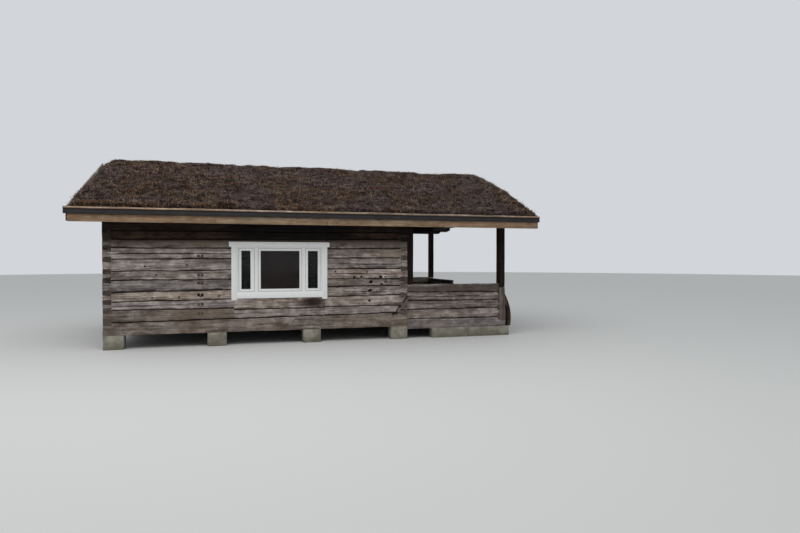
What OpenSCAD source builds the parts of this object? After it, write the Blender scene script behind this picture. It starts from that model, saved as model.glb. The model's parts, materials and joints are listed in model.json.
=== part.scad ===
// Lakeside log boathouse with a turf roof that runs on over an open porch.
// Hewn logs meet in dovetailed corners, and rafters on two plates and a ridge beam carry the turf.
// X runs along the front wall, Y into the depth, Z up from the lowest ground.

/* [House] */
// Length of the closed room, outside its logs
room_l = 6600; // [6400:50:7000]
// Length of the porch beyond the room
porch_l = 2520; // [2400:20:2800]
// Width across both long walls
house_w = 5500; // [5300:50:6000]
// Thickness of a hewn log
log_t = 165; // [150:5:180]
// Height of the porch's low walls above the ground
low_wall_top = 1290; // [1270:10:1330]
// Height of the room's floor above the ground
room_floor_z = 500; // [490:5:510]
// Height of the porch's floor above the ground
porch_floor_z = 450; // [440:5:460]

/* [Roof] */
// Pitch of both roof slopes, in degrees
pitch = 22.8; // [20:0.2:25]
// Reach of the front eave beyond the wall
front_eave = 600; // [500:10:700]
// Reach of the rear eave beyond the wall
rear_eave = 150; // [100:10:300]
// Reach of the roof past the left wall
left_verge = 500; // [400:10:600]
// Reach of the roof past the porch
right_verge = 600; // [450:10:700]
// Least thickness of the turf, straight down
turf_t = 146; // [100:2:180]
// Height of the turf's humps
turf_hump = 44; // [0:2:50]

/* [Window and door] */
// Width of the window opening in the logs
window_w = 1990; // [1960:10:2020]
// Height of the window's underside above the ground
window_sill_z = 1050; // [1040:5:1060]
// Height of the window opening in the logs
window_h = 1140; // [1120:10:1160]
// Width of the doorway in the wall behind the porch
door_w = 900; // [800:10:1000]
// Distance of the doorway from the front wall's face
door_y = 2050; // [1500:50:3000]

/* [Hidden] */
$fn = 48;
eps = 1;

// Joint heights of the room's long walls from sill to top, at the left end and at the right end
room_joints_left = [300, 560, 830, 1000, 1190, 1455, 1640, 1890, 2130, 2310, 2490, 2750];
room_joints_right = [300, 630, 800, 1050, 1280, 1440, 1680, 1930, 2140, 2360, 2520, 2750];
// Joint heights of the porch's low walls, at the room and at the corner post
porch_joints_left = [230, 463, 690, 900, 1110, low_wall_top];
porch_joints_right = [230, 455, 680, 880, 1085, low_wall_top];
porch_end = room_l + porch_l;
// A course set is a long wall's two ends and the joint heights at each
room_set = [0, room_l, room_joints_left, room_joints_right];
porch_set = [room_l, porch_end, porch_joints_left, porch_joints_right];
last_joint = len(room_joints_left) - 1;
last_porch_joint = len(porch_joints_left) - 1;
sill_z = room_joints_left[0];
wall_top = room_joints_left[last_joint];
porch_sill_z = porch_joints_left[0];
// The joint above the window and door heads, where the logs run through again
head_joint = 9;

// Groove where two logs meet, its depth and half its height
groove_d = 14;
groove_h = 11;
// Half height of a side log's tail at the middle of the corner, and the slope of its faces
tail_half = 45;
tail_slope = 0.10;

// Window, set out from the centre of its opening
window_x = 2630;
window_end = window_x + window_w;
window_mid = window_x + window_w / 2;
window_head_z = window_sill_z + window_h;
infill_joint_z = 785;
glass_w = 860;
side_glass_w = 230;
glass_gap = 185;
glass_z = 1230;
glass_h = 855;
sash_w = 55;
sash_t = 45;
casing_w = 120;
casing_lap = 60;
casing_t = 26;
side_glass_x = glass_w / 2 + glass_gap + side_glass_w / 2;
// Centre, from the window's middle, and width of each glass
glasses = [[-side_glass_x, side_glass_w], [0, glass_w], [side_glass_x, side_glass_w]];

// The scarf where the porch wall's logs were let into the room's corner
scarf_x = 295;
scarf_z = 360;

// Porch
post_w = 150;
entry_y = 930;
entry_end = 3430;
side_wall_top = 1250;
entry_sill_z = 470;

// Roof, measured straight down from the slope of the rafters' undersides
rise = tan(pitch);
plate_h = 110;
upper_plate_h = 100;
lower_plate_z = wall_top;
upper_plate_z = wall_top + plate_h;
rafter_z = upper_plate_z + 37;
rafter_h = 127;
rafter_w = 72;
deck_h = 30;
board_t = 28;
ridge_y = house_w / 2;
ridge_w = 110;
ridge_h = 190;
eave_y = -front_eave;
rear_eave_y = house_w + rear_eave;
roof_x = -left_verge;
roof_end = porch_end + right_verge;
fascia_h = 153;
band_h = 100;
band_d = 68;
pole_h = 45;
pole_d = 70;
pole_out_left = 60;
pole_out_right = 40;
pole_x = roof_x - pole_out_left;
pole_end = roof_end + pole_out_right;
pole_lap = 15;
// Height of the verge boards above the rafters' feet at both ends, and their fall towards the ridge
verge_hs = [270, 212];
verge_fall = 60;
verge_foot = 120;
ridge_gap = 4;
corbel = 260;
tie_h = 150;
room_bays = 7;
porch_bays = 3;

// Turf, as a sheet of points over each slope
turf_cols = 84;
turf_rows = 26;
turf_round = 420;
turf_belly = 70;

// The origin is below the middle of the whole roof
origin_x = (pole_x + pole_end) / 2;
pole_front = eave_y + board_t - band_d - pole_lap;
pole_rear = rear_eave_y - board_t + band_d + pole_lap;
origin_y = (pole_front + pole_rear) / 2;

// Height of a joint of a course set at a place along the wall
function joint_z(set, i, x) = set[2][i] + (set[3][i] - set[2][i]) * (x - set[0]) / (set[1] - set[0]);
// Joints of a side wall, half a course off those of the long wall it meets
function half_joints(joints) = [for (i = [0:len(joints) - 2]) (joints[i] + joints[i + 1]) / 2];
// Height of the rafters' undersides at a depth
function rafter_under(y) = rafter_z + min(y, house_w - y) * rise;
function deck_under(y) = rafter_under(y) + rafter_h;
function deck_top(y) = deck_under(y) + deck_h;

// Local frames

// Puts a piece of the front long wall at the rear, turned to face outwards
module at_rear()
    translate([0, house_w, 0])
        mirror([0, 1, 0])
            children();

// Puts a left corner's piece at a right corner that ends at x
module at_right(x)
    translate([x, 0, 0])
        mirror([1, 0, 0])
            children();

// Outline in the X-Z plane, extruded from y = 0 into the depth
module upright(depth)
    translate([0, depth, 0])
        rotate([90, 0, 0])
            linear_extrude(depth)
                children();

// Outline in the Y-Z plane, extruded along X from x = 0
module crosswise(length)
    rotate([90, 0, 90])
        linear_extrude(length)
            children();

// Hewn logs

// V groove along a joint, cut into both faces of a wall. Along a wall's own edge only the log on
// one side is chamfered: part is 1 for the log above the joint, -1 for the log below, 0 for both.
module groove(length, part = 0) {
    lip = groove_h * (1 + eps / groove_d);
    for (side = [0, 1])
        translate([0, side * log_t, 0])
            mirror([0, side, 0])
                crosswise(length)
                    polygon(
                        part == 0
                            ? [[-eps, -lip], [-eps, lip], [groove_d, 0]]
                            : [[-eps, part * lip], [2 * groove_d, -part * groove_h], [-eps, -part * groove_h]]
                    );
}

// Groove along a joint of a course set, from x0 to x1
module joint_groove(set, i, x0, x1, part) {
    run = x1 - x0;
    climb = joint_z(set, i, x1) - joint_z(set, i, x0);
    translate([x0, 0, joint_z(set, i, x0)])
        rotate([0, -atan2(climb, run), 0])
            translate([-log_t / 4, 0, 0])
                groove(run + log_t / 2, part);
}

// Run of courses of a long wall between two places and two joints
module courses(set, x0, x1, low, high) {
    difference() {
        upright(log_t)
            polygon([
                [x0, joint_z(set, low, x0)], [x1, joint_z(set, low, x1)],
                [x1, joint_z(set, high, x1)], [x0, joint_z(set, high, x0)]
            ]);
        for (i = [low:high])
            if (i > 0 && i < len(set[2]) - 1)
                joint_groove(set, i, x0, x1, i == low ? 1 : i == high ? -1 : 0);
    }
}

// Everything on one side of a plane that rises sx along X and sy along Y from height z
module beyond_plane(z, sx, sy, above) {
    reach = 4 * log_t;
    translate([0, 0, z])
        rotate([atan(sy * cos(atan(sx))), -atan(sx), 0])
            translate([-reach, -reach, above ? 0 : -reach])
                cube([2 * reach, 2 * reach, reach]);
}

// One side log's dovetail in the corner column: it flares towards its own end at y = 0
// and leaves the long wall's tail flaring towards x = 0
module tail(z) {
    intersection() {
        translate([0, 0, z - log_t])
            cube([log_t, log_t, 2 * log_t]);
        beyond_plane(z + tail_half, tail_slope, -tail_slope, false);
        beyond_plane(z - tail_half, -tail_slope, tail_slope, true);
    }
}

// All dovetails of one corner between two joints, none reaching above the wall
module tails(joints, low, high) {
    intersection() {
        translate([-eps, -eps, 0])
            cube([log_t + 2 * eps, log_t + 2 * eps, joints[len(joints) - 1]]);
        union() {
            for (i = [low:high])
                tail(joints[i]);
        }
    }
}

// Side logs between two heights, along Y, with a groove at each of the joints
module side_logs(y0, y1, z0, z1, joints) {
    difference() {
        translate([0, y0, z0])
            cube([log_t, y1 - y0, z1 - z0]);
        for (z = joints)
            if (z >= z0 && z <= z1)
                translate([log_t, y0 - log_t, z])
                    rotate([0, 0, 90])
                        groove(y1 - y0 + 2 * log_t, z == z0 ? 1 : z == z1 ? -1 : 0);
    }
}

// Room, long walls

module front_sill_log() {
    color([0.42, 0.39, 0.37])
        difference() {
            courses(room_set, 0, room_l, 0, 1);
            tails(room_joints_left, 1, 1);
            at_right(room_l)
                tails(room_joints_right, 1, 1);
        }
}

module front_wall_left() {
    color([0.45, 0.41, 0.39])
        difference() {
            courses(room_set, 0, window_x, 1, head_joint);
            tails(room_joints_left, 1, head_joint);
        }
}

// The right end of the front wall, before its foot is scarfed
module right_end_logs() {
    difference() {
        courses(room_set, window_end, room_l, 1, head_joint);
        at_right(room_l)
            tails(room_joints_right, 1, head_joint);
    }
}

// Triangle below the slanting scarf at the room's corner
module scarf() {
    foot = room_joints_right[1];
    translate([0, -eps, 0])
        upright(log_t + 2 * eps)
            polygon([[room_l, foot + scarf_z], [room_l - scarf_x, foot - eps], [room_l, foot - eps]]);
}

module front_wall_right() {
    color([0.43, 0.40, 0.38])
        difference() {
            right_end_logs();
            scarf();
        }
}

module front_wall_infill() {
    color([0.38, 0.35, 0.34])
        difference() {
            upright(log_t)
                polygon([
                    [window_x, joint_z(room_set, 1, window_x)], [window_end, joint_z(room_set, 1, window_end)],
                    [window_end, window_sill_z], [window_x, window_sill_z]
                ]);
            translate([window_x - eps, 0, infill_joint_z])
                groove(window_w + 2 * eps);
            joint_groove(room_set, 1, window_x, window_end, 1);
        }
}

// The courses above the window, with the strip of the log that the window head cuts into
module front_wall_top() {
    color([0.22, 0.18, 0.16])
        difference() {
            upright(log_t)
                polygon([
                    [0, joint_z(room_set, head_joint, 0)],
                    [window_x, joint_z(room_set, head_joint, window_x)],
                    [window_x, window_head_z], [window_end, window_head_z],
                    [window_end, joint_z(room_set, head_joint, window_end)],
                    [room_l, joint_z(room_set, head_joint, room_l)],
                    [room_l, wall_top], [0, wall_top]
                ]);
            joint_groove(room_set, head_joint, 0, window_x - log_t / 4, 1);
            joint_groove(room_set, head_joint, window_x, window_end, 0);
            joint_groove(room_set, head_joint, window_end + log_t / 4, room_l, 1);
            joint_groove(room_set, head_joint + 1, 0, room_l, 0);
            tails(room_joints_left, head_joint, last_joint);
            at_right(room_l)
                tails(room_joints_right, head_joint, last_joint);
        }
}

module rear_wall() {
    color([0.42, 0.39, 0.37])
        at_rear()
            difference() {
                courses(room_set, 0, room_l, 0, last_joint);
                tails(room_joints_left, 1, last_joint);
                at_right(room_l)
                    tails(room_joints_right, 1, last_joint);
            }
}

// Room, side walls

module left_wall() {
    color([0.43, 0.39, 0.37])
        union() {
            side_logs(log_t, house_w - log_t, sill_z, wall_top, half_joints(room_joints_left));
            tails(room_joints_left, 1, last_joint);
            at_rear()
                tails(room_joints_left, 1, last_joint);
        }
}

inner_joints = half_joints(room_joints_right);
door_z = inner_joints[0];
door_head_z = inner_joints[head_joint];
door_end = door_y + door_w;

module inner_wall_sill() {
    color([0.40, 0.36, 0.33])
        at_right(room_l)
            side_logs(log_t, house_w - log_t, sill_z, door_z, inner_joints);
}

module inner_wall_front() {
    color([0.40, 0.36, 0.33])
        at_right(room_l)
            union() {
                side_logs(log_t, door_y, door_z, door_head_z, inner_joints);
                tails(room_joints_right, 1, head_joint);
            }
}

module inner_wall_rear() {
    color([0.40, 0.36, 0.33])
        at_right(room_l)
            union() {
                side_logs(door_end, house_w - log_t, door_z, door_head_z, inner_joints);
                at_rear()
                    tails(room_joints_right, 1, head_joint);
            }
}

module inner_wall_top() {
    color([0.30, 0.26, 0.24])
        at_right(room_l)
            union() {
                side_logs(log_t, house_w - log_t, door_head_z, wall_top, inner_joints);
                tails(room_joints_right, last_joint - 1, last_joint);
                at_rear()
                    tails(room_joints_right, last_joint - 1, last_joint);
            }
}

// Porch, low walls

porch_side_joints = half_joints(porch_joints_right);
side_sill_top = porch_side_joints[1];

module porch_wall_front() {
    color([0.42, 0.40, 0.38])
        union() {
            difference() {
                courses(porch_set, room_l, porch_end, 0, last_porch_joint);
                at_right(porch_end)
                    tails(porch_joints_right, 1, last_porch_joint - 1);
            }
            intersection() {
                right_end_logs();
                scarf();
            }
        }
}

module porch_wall_rear() {
    color([0.42, 0.40, 0.38])
        at_rear()
            difference() {
                courses(porch_set, room_l, porch_end, 0, last_porch_joint);
                at_right(porch_end)
                    tails(porch_joints_right, 1, last_porch_joint - 1);
            }
}

// The side sill ties both low walls together and is the entry's threshold
module porch_side_sill() {
    color([0.36, 0.33, 0.31])
        at_right(porch_end)
            difference() {
                union() {
                    side_logs(log_t, house_w - log_t, porch_sill_z, side_sill_top, porch_side_joints);
                    tails(porch_joints_right, 1, 1);
                    at_rear()
                        tails(porch_joints_right, 1, 1);
                }
                translate([-eps, entry_y, entry_sill_z])
                    cube([log_t + 2 * eps, entry_end - entry_y, log_t]);
            }
}

module porch_side_front() {
    color([0.36, 0.33, 0.31])
        at_right(porch_end)
            union() {
                side_logs(log_t, entry_y, side_sill_top, side_wall_top, porch_side_joints);
                tails(porch_joints_right, 2, last_porch_joint - 1);
            }
}

module porch_side_rear() {
    color([0.36, 0.33, 0.31])
        at_right(porch_end)
            union() {
                side_logs(entry_end, house_w - log_t, side_sill_top, side_wall_top, porch_side_joints);
                at_rear()
                    tails(porch_joints_right, 2, last_porch_joint - 1);
            }
}

// Weathered board over the log ends at the porch's front corner
module corner_board() {
    color([0.38, 0.34, 0.31])
        translate([porch_end, -board_t, 0])
            upright(board_t)
                polygon([[-128, 450], [45, 450], [14, 1250], [-138, 1250]]);
}

// Slab that has sprung away from the corner, its foot still on the footing
module bowed_plank() {
    foot_x = 180;
    head_z = 1090;
    bow = 85;
    thick = 90;
    depth = 130;
    steps = 16;
    // Distance of the slab's outer face from the wall's end, from its head at t = 0 to its foot at t = 1
    function outer_x(t) = foot_x * t + 4 * bow * t * (1 - t);
    function height(t) = head_z + (porch_sill_z - head_z) * t;
    color([0.16, 0.13, 0.12])
        translate([porch_end, 0, 0])
            upright(depth)
                intersection() {
                    polygon(concat(
                        [for (i = [0:steps]) [outer_x(i / steps), height(i / steps)]],
                        [for (i = [steps:-1:0]) [outer_x(i / steps) - thick, height(i / steps)]]
                    ));
                    translate([0, porch_sill_z])
                        square([2 * foot_x, head_z]);
                }
}

// Floors and footings

joist_w = 75;

// Boards on joists that run across the house between the long walls, down to the height foot
module floor_frame(x0, x1, foot, top, joists) {
    y0 = log_t;
    y1 = house_w - log_t;
    joist_pitch = (x1 - x0 - joist_w) / (joists - 1);
    union() {
        translate([x0, y0, top - board_t])
            cube([x1 - x0, y1 - y0, board_t]);
        for (i = [0:joists - 1])
            translate([x0 + i * joist_pitch, y0, foot])
                cube([joist_w, y1 - y0, top - board_t - foot]);
    }
}

module room_floor() {
    color([0.55, 0.45, 0.33])
        floor_frame(log_t, room_l - log_t, sill_z, room_floor_z, 13);
}

module porch_floor() {
    color([0.45, 0.40, 0.34])
        floor_frame(room_l, porch_end - log_t, porch_sill_z, porch_floor_z, 5);
}

footing_w = 400;
footing_d = 300;
footing_rows = 4;
footing_pitch = (room_l - footing_w) / (footing_rows - 1);

// Three rows of blocks under the room, a pair of long blocks under each low wall of the porch
// and one under the threshold
module footings() {
    middle_y = (house_w - footing_d) / 2;
    block_l = [930, 1095];
    block_x = [porch_end - 1900, porch_end - 965];
    color([0.60, 0.59, 0.56])
        union() {
            for (i = [0:footing_rows - 1])
                for (y = [0, middle_y, house_w - footing_d])
                    translate([i * footing_pitch, y, 0])
                        cube([footing_w, footing_d, sill_z]);
            for (i = [0, 1])
                for (y = [-30, house_w + 30 - footing_d])
                    translate([block_x[i], y, 0])
                        cube([block_l[i], footing_d, porch_sill_z]);
            translate([porch_end - footing_w, middle_y, 0])
                cube([footing_w, footing_d, porch_sill_z]);
        }
}

// Posts, plates and beams

// Posts stand on both low walls, at the room's corners and at the porch's
module posts() {
    inset = (log_t - post_w) / 2;
    overhang = 15;
    color([0.13, 0.10, 0.09])
        for (x = [room_l, porch_end - post_w + overhang])
            for (y = [inset, house_w - inset - post_w])
                translate([x, y, low_wall_top])
                    cube([post_w, post_w, lower_plate_z - low_wall_top]);
}

// The lower plates lie on the walls and posts, and end in a rounded corbel past the porch
module lower_plate() {
    nose = plate_h * 0.8;
    upright(log_t)
        difference() {
            translate([0, lower_plate_z])
                square([porch_end + corbel, plate_h]);
            translate([porch_end + corbel, lower_plate_z])
                difference() {
                    translate([-nose, -eps])
                        square([nose + eps, nose + eps]);
                    translate([-nose, nose])
                        circle(r = nose);
                }
        }
}

module lower_plates() {
    color([0.20, 0.17, 0.15])
        union() {
            lower_plate();
            at_rear()
                lower_plate();
        }
}

module tie_beam() {
    lap = log_t / 2;
    color([0.20, 0.17, 0.15])
        translate([porch_end - post_w, lap, upper_plate_z])
            cube([post_w, house_w - 2 * lap, tie_h]);
}

module upper_plate() {
    translate([roof_x, 0, upper_plate_z])
        cube([roof_end - roof_x, log_t, upper_plate_h]);
}

module upper_plates() {
    color([0.20, 0.17, 0.15])
        difference() {
            union() {
                upper_plate();
                at_rear()
                    upper_plate();
            }
            tie_beam();
        }
}

// The ridge beam's top is bevelled to both slopes
module ridge_profile() {
    peak = rafter_under(ridge_y);
    shoulder = rafter_under(ridge_y - ridge_w / 2);
    polygon([
        [ridge_y - ridge_w / 2, peak - ridge_h], [ridge_y + ridge_w / 2, peak - ridge_h],
        [ridge_y + ridge_w / 2, shoulder], [ridge_y, peak], [ridge_y - ridge_w / 2, shoulder]
    ]);
}

module ridge_beam() {
    color([0.30, 0.25, 0.20])
        translate([roof_x, 0, 0])
            crosswise(roof_end - roof_x)
                ridge_profile();
}

// Rafters stand behind each boarded gable, under each verge and evenly between
room_bay = (room_l - 2 * board_t - rafter_w) / room_bays;
porch_bay = porch_l / porch_bays;
rafter_xs = concat(
    [roof_x],
    [for (i = [0:room_bays]) board_t + i * room_bay],
    [for (i = [1:porch_bays]) room_l - board_t - rafter_w + i * porch_bay],
    [roof_end - rafter_w]
);

// Slope slab between an eave and the ridge, h thick straight down, from the rafters' undersides plus lift
module slope_profile(y0, lift, h) {
    peak = rafter_under(ridge_y) + lift;
    foot = rafter_under(y0) + lift;
    polygon([[y0, foot], [ridge_y, peak], [ridge_y, peak + h], [y0, foot + h]]);
}

// Rafters of one slope, notched over the upper plate
module rafters(y0) {
    difference() {
        union() {
            for (x = rafter_xs)
                translate([x, 0, 0])
                    crosswise(rafter_w)
                        slope_profile(y0, 0, rafter_h);
        }
        upper_plate();
        at_rear()
            upper_plate();
    }
}

module front_rafters() {
    color([0.34, 0.27, 0.20])
        rafters(eave_y + board_t);
}

module rear_rafters() {
    color([0.34, 0.27, 0.20])
        rafters(rear_eave_y - board_t);
}

module deck(y0) {
    translate([roof_x, 0, 0])
        crosswise(roof_end - roof_x)
            slope_profile(y0, rafter_h, deck_h);
}

module front_deck() {
    color([0.38, 0.31, 0.24])
        deck(eave_y + board_t);
}

module rear_deck() {
    color([0.38, 0.31, 0.24])
        deck(rear_eave_y - board_t);
}

// Boarded gables fill the triangle between the plates and the deck
module gable_profile(foot_z) {
    difference() {
        intersection() {
            polygon([
                [log_t, foot_z], [house_w - log_t, foot_z],
                [house_w - log_t, deck_under(house_w - log_t)],
                [ridge_y, deck_under(ridge_y)], [log_t, deck_under(log_t)]
            ]);
            translate([log_t, foot_z])
                square([house_w - 2 * log_t, 4 * wall_top]);
        }
        ridge_profile();
    }
}

module gable(x, foot_z) {
    translate([x, 0, 0])
        crosswise(board_t)
            gable_profile(foot_z);
}

// Gables over the left wall, over the wall behind the porch and over the tie beam
module gable_boards() {
    color([0.40, 0.35, 0.31])
        union() {
            gable(0, wall_top);
            gable(room_l - board_t, wall_top);
            gable(porch_end - board_t, upper_plate_z + tie_h);
        }
}

// Roof edges

// Board over the rafter ends, from an eave's outer face
module fascia_profile(y0) {
    translate([y0, rafter_under(y0) - 8])
        square([board_t, fascia_h]);
}

module fascias() {
    color([0.62, 0.48, 0.34])
        translate([roof_x, 0, 0])
            crosswise(roof_end - roof_x)
                union() {
                    fascia_profile(eave_y);
                    translate([house_w, 0])
                        mirror([1, 0])
                            fascia_profile(-rear_eave);
                }
}

// Dark band that stops the turf, on the fascia's top edge
module band_profile(y0) {
    translate([y0 + board_t - band_d, rafter_under(y0) - 8 + fascia_h])
        square([band_d, band_h]);
}

module edge_bands() {
    color([0.10, 0.11, 0.14])
        translate([pole_x, 0, 0])
            crosswise(pole_end - pole_x)
                union() {
                    band_profile(eave_y);
                    translate([house_w, 0])
                        mirror([1, 0])
                            band_profile(-rear_eave);
                }
}

// Weathered pole on the band, flat below and rounded on top
module pole_profile(y0) {
    translate([y0 + board_t - band_d - pole_lap + pole_d / 2, rafter_under(y0) - 8 + fascia_h + band_h])
        intersection() {
            translate([-pole_d / 2, 0])
                square([pole_d, pole_h]);
            translate([0, pole_h - pole_d / 2 - 4])
                circle(r = pole_d / 2 + 4);
        }
}

module turf_boards() {
    color([0.60, 0.55, 0.48])
        translate([pole_x, 0, 0])
            crosswise(pole_end - pole_x)
                union() {
                    pole_profile(eave_y);
                    translate([house_w, 0])
                        mirror([1, 0])
                            pole_profile(-rear_eave);
                }
}

// Verge board of one slope, with a plumb cut just short of the ridge
module verge_profile(foot_y, verge_h) {
    top_y = ridge_y - ridge_gap / 2;
    function low(y) = rafter_under(y) - 8;
    polygon([
        [foot_y, low(foot_y)], [top_y, low(top_y)], [top_y, low(top_y) + verge_h - verge_fall],
        [foot_y + verge_foot, low(foot_y + verge_foot) + verge_h],
        [foot_y, low(foot_y) + min(verge_h, fascia_h + band_h)]
    ]);
}

// Verge boards close the ends of rafters, deck and turf along both slopes
module verge_boards() {
    color([0.50, 0.45, 0.40])
        for (end = [0, 1])
            translate([end == 0 ? roof_x - board_t : roof_end, 0, 0])
                crosswise(board_t)
                    union() {
                        verge_profile(eave_y + board_t, verge_hs[end]);
                        translate([house_w, 0])
                            mirror([1, 0])
                                verge_profile(-rear_eave + board_t, verge_hs[end]);
                    }
}

// Turf

// Full wavelength of each hump is given in millimetres
function wave(v, length, shift) = sin(360 * v / length + shift);
function humps(x, y) = turf_hump * (
    0.20 * wave(x, 4300, 30) + 0.20 * wave(x + 0.6 * y, 1870, 80) * wave(y, 2900, 20)
    + 0.24 * wave(x - 0.5 * y, 1010, 10) * wave(y + 0.3 * x, 940, 70)
    + 0.36 * wave(x + 0.35 * y, 570, 40) * wave(y - 0.25 * x, 530, 110)
);
// Thickness falls off in a round shoulder towards the verges, rounder near the ridge, where t is 1
function shoulder(x, t) =
    let (d = min(x - roof_x, roof_end - x), reach = turf_round * (0.7 + 0.6 * t * t))
    d >= reach ? 1 : sqrt(1 - pow(1 - d / reach, 2));
// The turf has crept down the slope and lies thickest below its middle
function belly(t) = turf_belly * sin(180 * pow(t, 0.75));
// Surface of the turf on a slope that starts at the depth y0
function turf_top(x, y, y0) =
    let (t = (y - y0) / (ridge_y - y0), s = shoulder(x, t), edge = 0.62 - 0.3 * t * t)
    deck_top(y) + turf_t * (edge + (1 - edge) * s) + (turf_hump + humps(x, y)) * s + belly(t) * (0.4 + 0.6 * s);

// Columns stand closer together near the verges, where the turf rounds off
function turf_x(i) =
    let (t = i / turf_cols)
    roof_x + (roof_end - roof_x) * (t - 0.10 * sin(360 * t) / PI * 1.2);

// Turf on one slope: a sheet of points over the deck, closed by flat sides and base
module turf(y0) {
    across = turf_rows + 1;
    function row_y(j) = y0 + (ridge_y - y0) * j / turf_rows;
    top = [
        for (i = [0:turf_cols])
            for (j = [0:turf_rows])
                [turf_x(i), row_y(j), turf_top(turf_x(i), row_y(j), y0)]
    ];
    base = [
        for (i = [0, turf_cols])
            for (j = [0, turf_rows])
                [turf_x(i), row_y(j), deck_top(row_y(j))]
    ];
    n = len(top);
    function at(i, j) = i * across + j;
    // Every other cell is split along the other diagonal, so that the humps stay even
    faces = concat(
        [
            for (i = [0:turf_cols - 1])
                for (j = [0:turf_rows - 1])
                    for (half = [0, 1])
                        (i + j) % 2 == 0
                            ? (half == 0
                                ? [at(i, j), at(i, j + 1), at(i + 1, j + 1)]
                                : [at(i, j), at(i + 1, j + 1), at(i + 1, j)])
                            : (half == 0
                                ? [at(i, j), at(i, j + 1), at(i + 1, j)]
                                : [at(i, j + 1), at(i + 1, j + 1), at(i + 1, j)])
        ],
        [concat([n, n + 1], [for (j = [turf_rows:-1:0]) at(0, j)])],
        [concat([n + 3, n + 2], [for (j = [0:turf_rows]) at(turf_cols, j)])],
        [concat([n + 2, n], [for (i = [0:turf_cols]) at(i, 0)])],
        [concat([n + 1, n + 3], [for (i = [turf_cols:-1:0]) at(i, turf_rows)])],
        [[n, n + 2, n + 3, n + 1]]
    );
    polyhedron(points = concat(top, base), faces = faces, convexity = 6);
}

module front_turf() {
    color([0.30, 0.23, 0.20])
        turf(eave_y + board_t);
}

module rear_turf() {
    color([0.30, 0.23, 0.20])
        at_rear()
            turf(-rear_eave + board_t);
}

// Window

module window_casing() {
    side_w = window_w / 2 - casing_lap;
    head_reach = side_w + casing_w + 50;
    head_z = window_head_z - 20;
    foot_z = window_sill_z - 60;
    color([0.86, 0.87, 0.88])
        translate([window_mid, -casing_t, 0])
            union() {
                translate([-head_reach, -4, head_z])
                    cube([2 * head_reach, casing_t + 4, 110]);
                for (side = [0, 1])
                    mirror([side, 0, 0])
                        translate([side_w, 0, foot_z])
                            cube([casing_w, casing_t, head_z - foot_z]);
                translate([-side_w, 3, window_sill_z - 20])
                    cube([2 * side_w, casing_t - 3, 137]);
            }
}

// Opening of a sash or of its glass, grown by a margin, as an outline in X and Z
module glass_outline(glass, margin) {
    translate([window_mid + glass[0] - glass[1] / 2 - margin, glass_z - margin])
        square([glass[1] + 2 * margin, glass_h + 2 * margin]);
}

module window_frame() {
    color([0.84, 0.85, 0.86])
        upright(log_t - 55)
            difference() {
                translate([window_x, window_sill_z])
                    square([window_w, window_h]);
                for (glass = glasses)
                    glass_outline(glass, sash_w);
            }
}

module window_sashes() {
    color([0.88, 0.89, 0.90])
        translate([0, 10, 0])
            upright(sash_t)
                for (glass = glasses)
                    difference() {
                        glass_outline(glass, sash_w);
                        glass_outline(glass, 0);
                    }
}

module window_panes() {
    color([0.20, 0.24, 0.27, 0.5])
        translate([0, 28, 0])
            upright(6)
                for (glass = glasses)
                    glass_outline(glass, 0);
}

// Drawn blind behind the middle glass
module window_blind() {
    color([0.24, 0.18, 0.16])
        translate([0, 70, 0])
            upright(4)
                glass_outline(glasses[1], sash_w);
}

// Door

door_jamb = 60;
threshold_h = 40;
leaf_t = 45;
leaf_gap = 5;
leaf_x = room_l - 35 - leaf_t;
leaf_y = door_y + door_jamb + leaf_gap;
leaf_w = door_w - 2 * (door_jamb + leaf_gap);
leaf_z = door_z + threshold_h + leaf_gap;
leaf_h = door_head_z - door_jamb - leaf_gap - leaf_z;
stop_w = 20;

// The frame fills the doorway and is rebated for the leaf
module door_frame() {
    color([0.35, 0.28, 0.22])
        translate([room_l - log_t, 0, 0])
            difference() {
                translate([0, door_y, door_z])
                    cube([log_t, door_w, door_head_z - door_z]);
                translate([leaf_x - room_l + log_t, leaf_y - leaf_gap, leaf_z - leaf_gap])
                    cube([log_t, leaf_w + 2 * leaf_gap, leaf_h + 2 * leaf_gap]);
                translate([-eps, leaf_y + stop_w, leaf_z + stop_w])
                    cube([log_t + 2 * eps, leaf_w - 2 * stop_w, leaf_h - 2 * stop_w]);
            }
}

module door_leaf() {
    planks = 6;
    plank_w = leaf_w / planks;
    color([0.33, 0.26, 0.21])
        translate([leaf_x, leaf_y, leaf_z])
            difference() {
                cube([leaf_t, leaf_w, leaf_h]);
                for (i = [1:planks - 1])
                    translate([leaf_t - 6, i * plank_w - 3, -eps])
                        cube([6 + eps, 6, leaf_h + 2 * eps]);
            }
}

// Two strap hinges and a pull handle
module door_fittings() {
    strap_l = 480;
    strap_h = 45;
    strap_t = 5;
    face_x = leaf_x + leaf_t;
    grip_r = 9;
    grip_l = 170;
    color([0.10, 0.10, 0.10])
        union() {
            for (z = [leaf_z + 260, leaf_z + leaf_h - 300])
                translate([face_x, leaf_y + leaf_w - strap_l, z])
                    cube([strap_t, strap_l, strap_h]);
            translate([face_x + 40, leaf_y + 60, leaf_z + 900])
                cylinder(r = grip_r, h = grip_l);
            for (z = [leaf_z + 920, leaf_z + 900 + grip_l - 20])
                translate([face_x, leaf_y + 60, z])
                    rotate([0, 90, 0])
                        cylinder(r = grip_r * 0.8, h = 40);
        }
}

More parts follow.
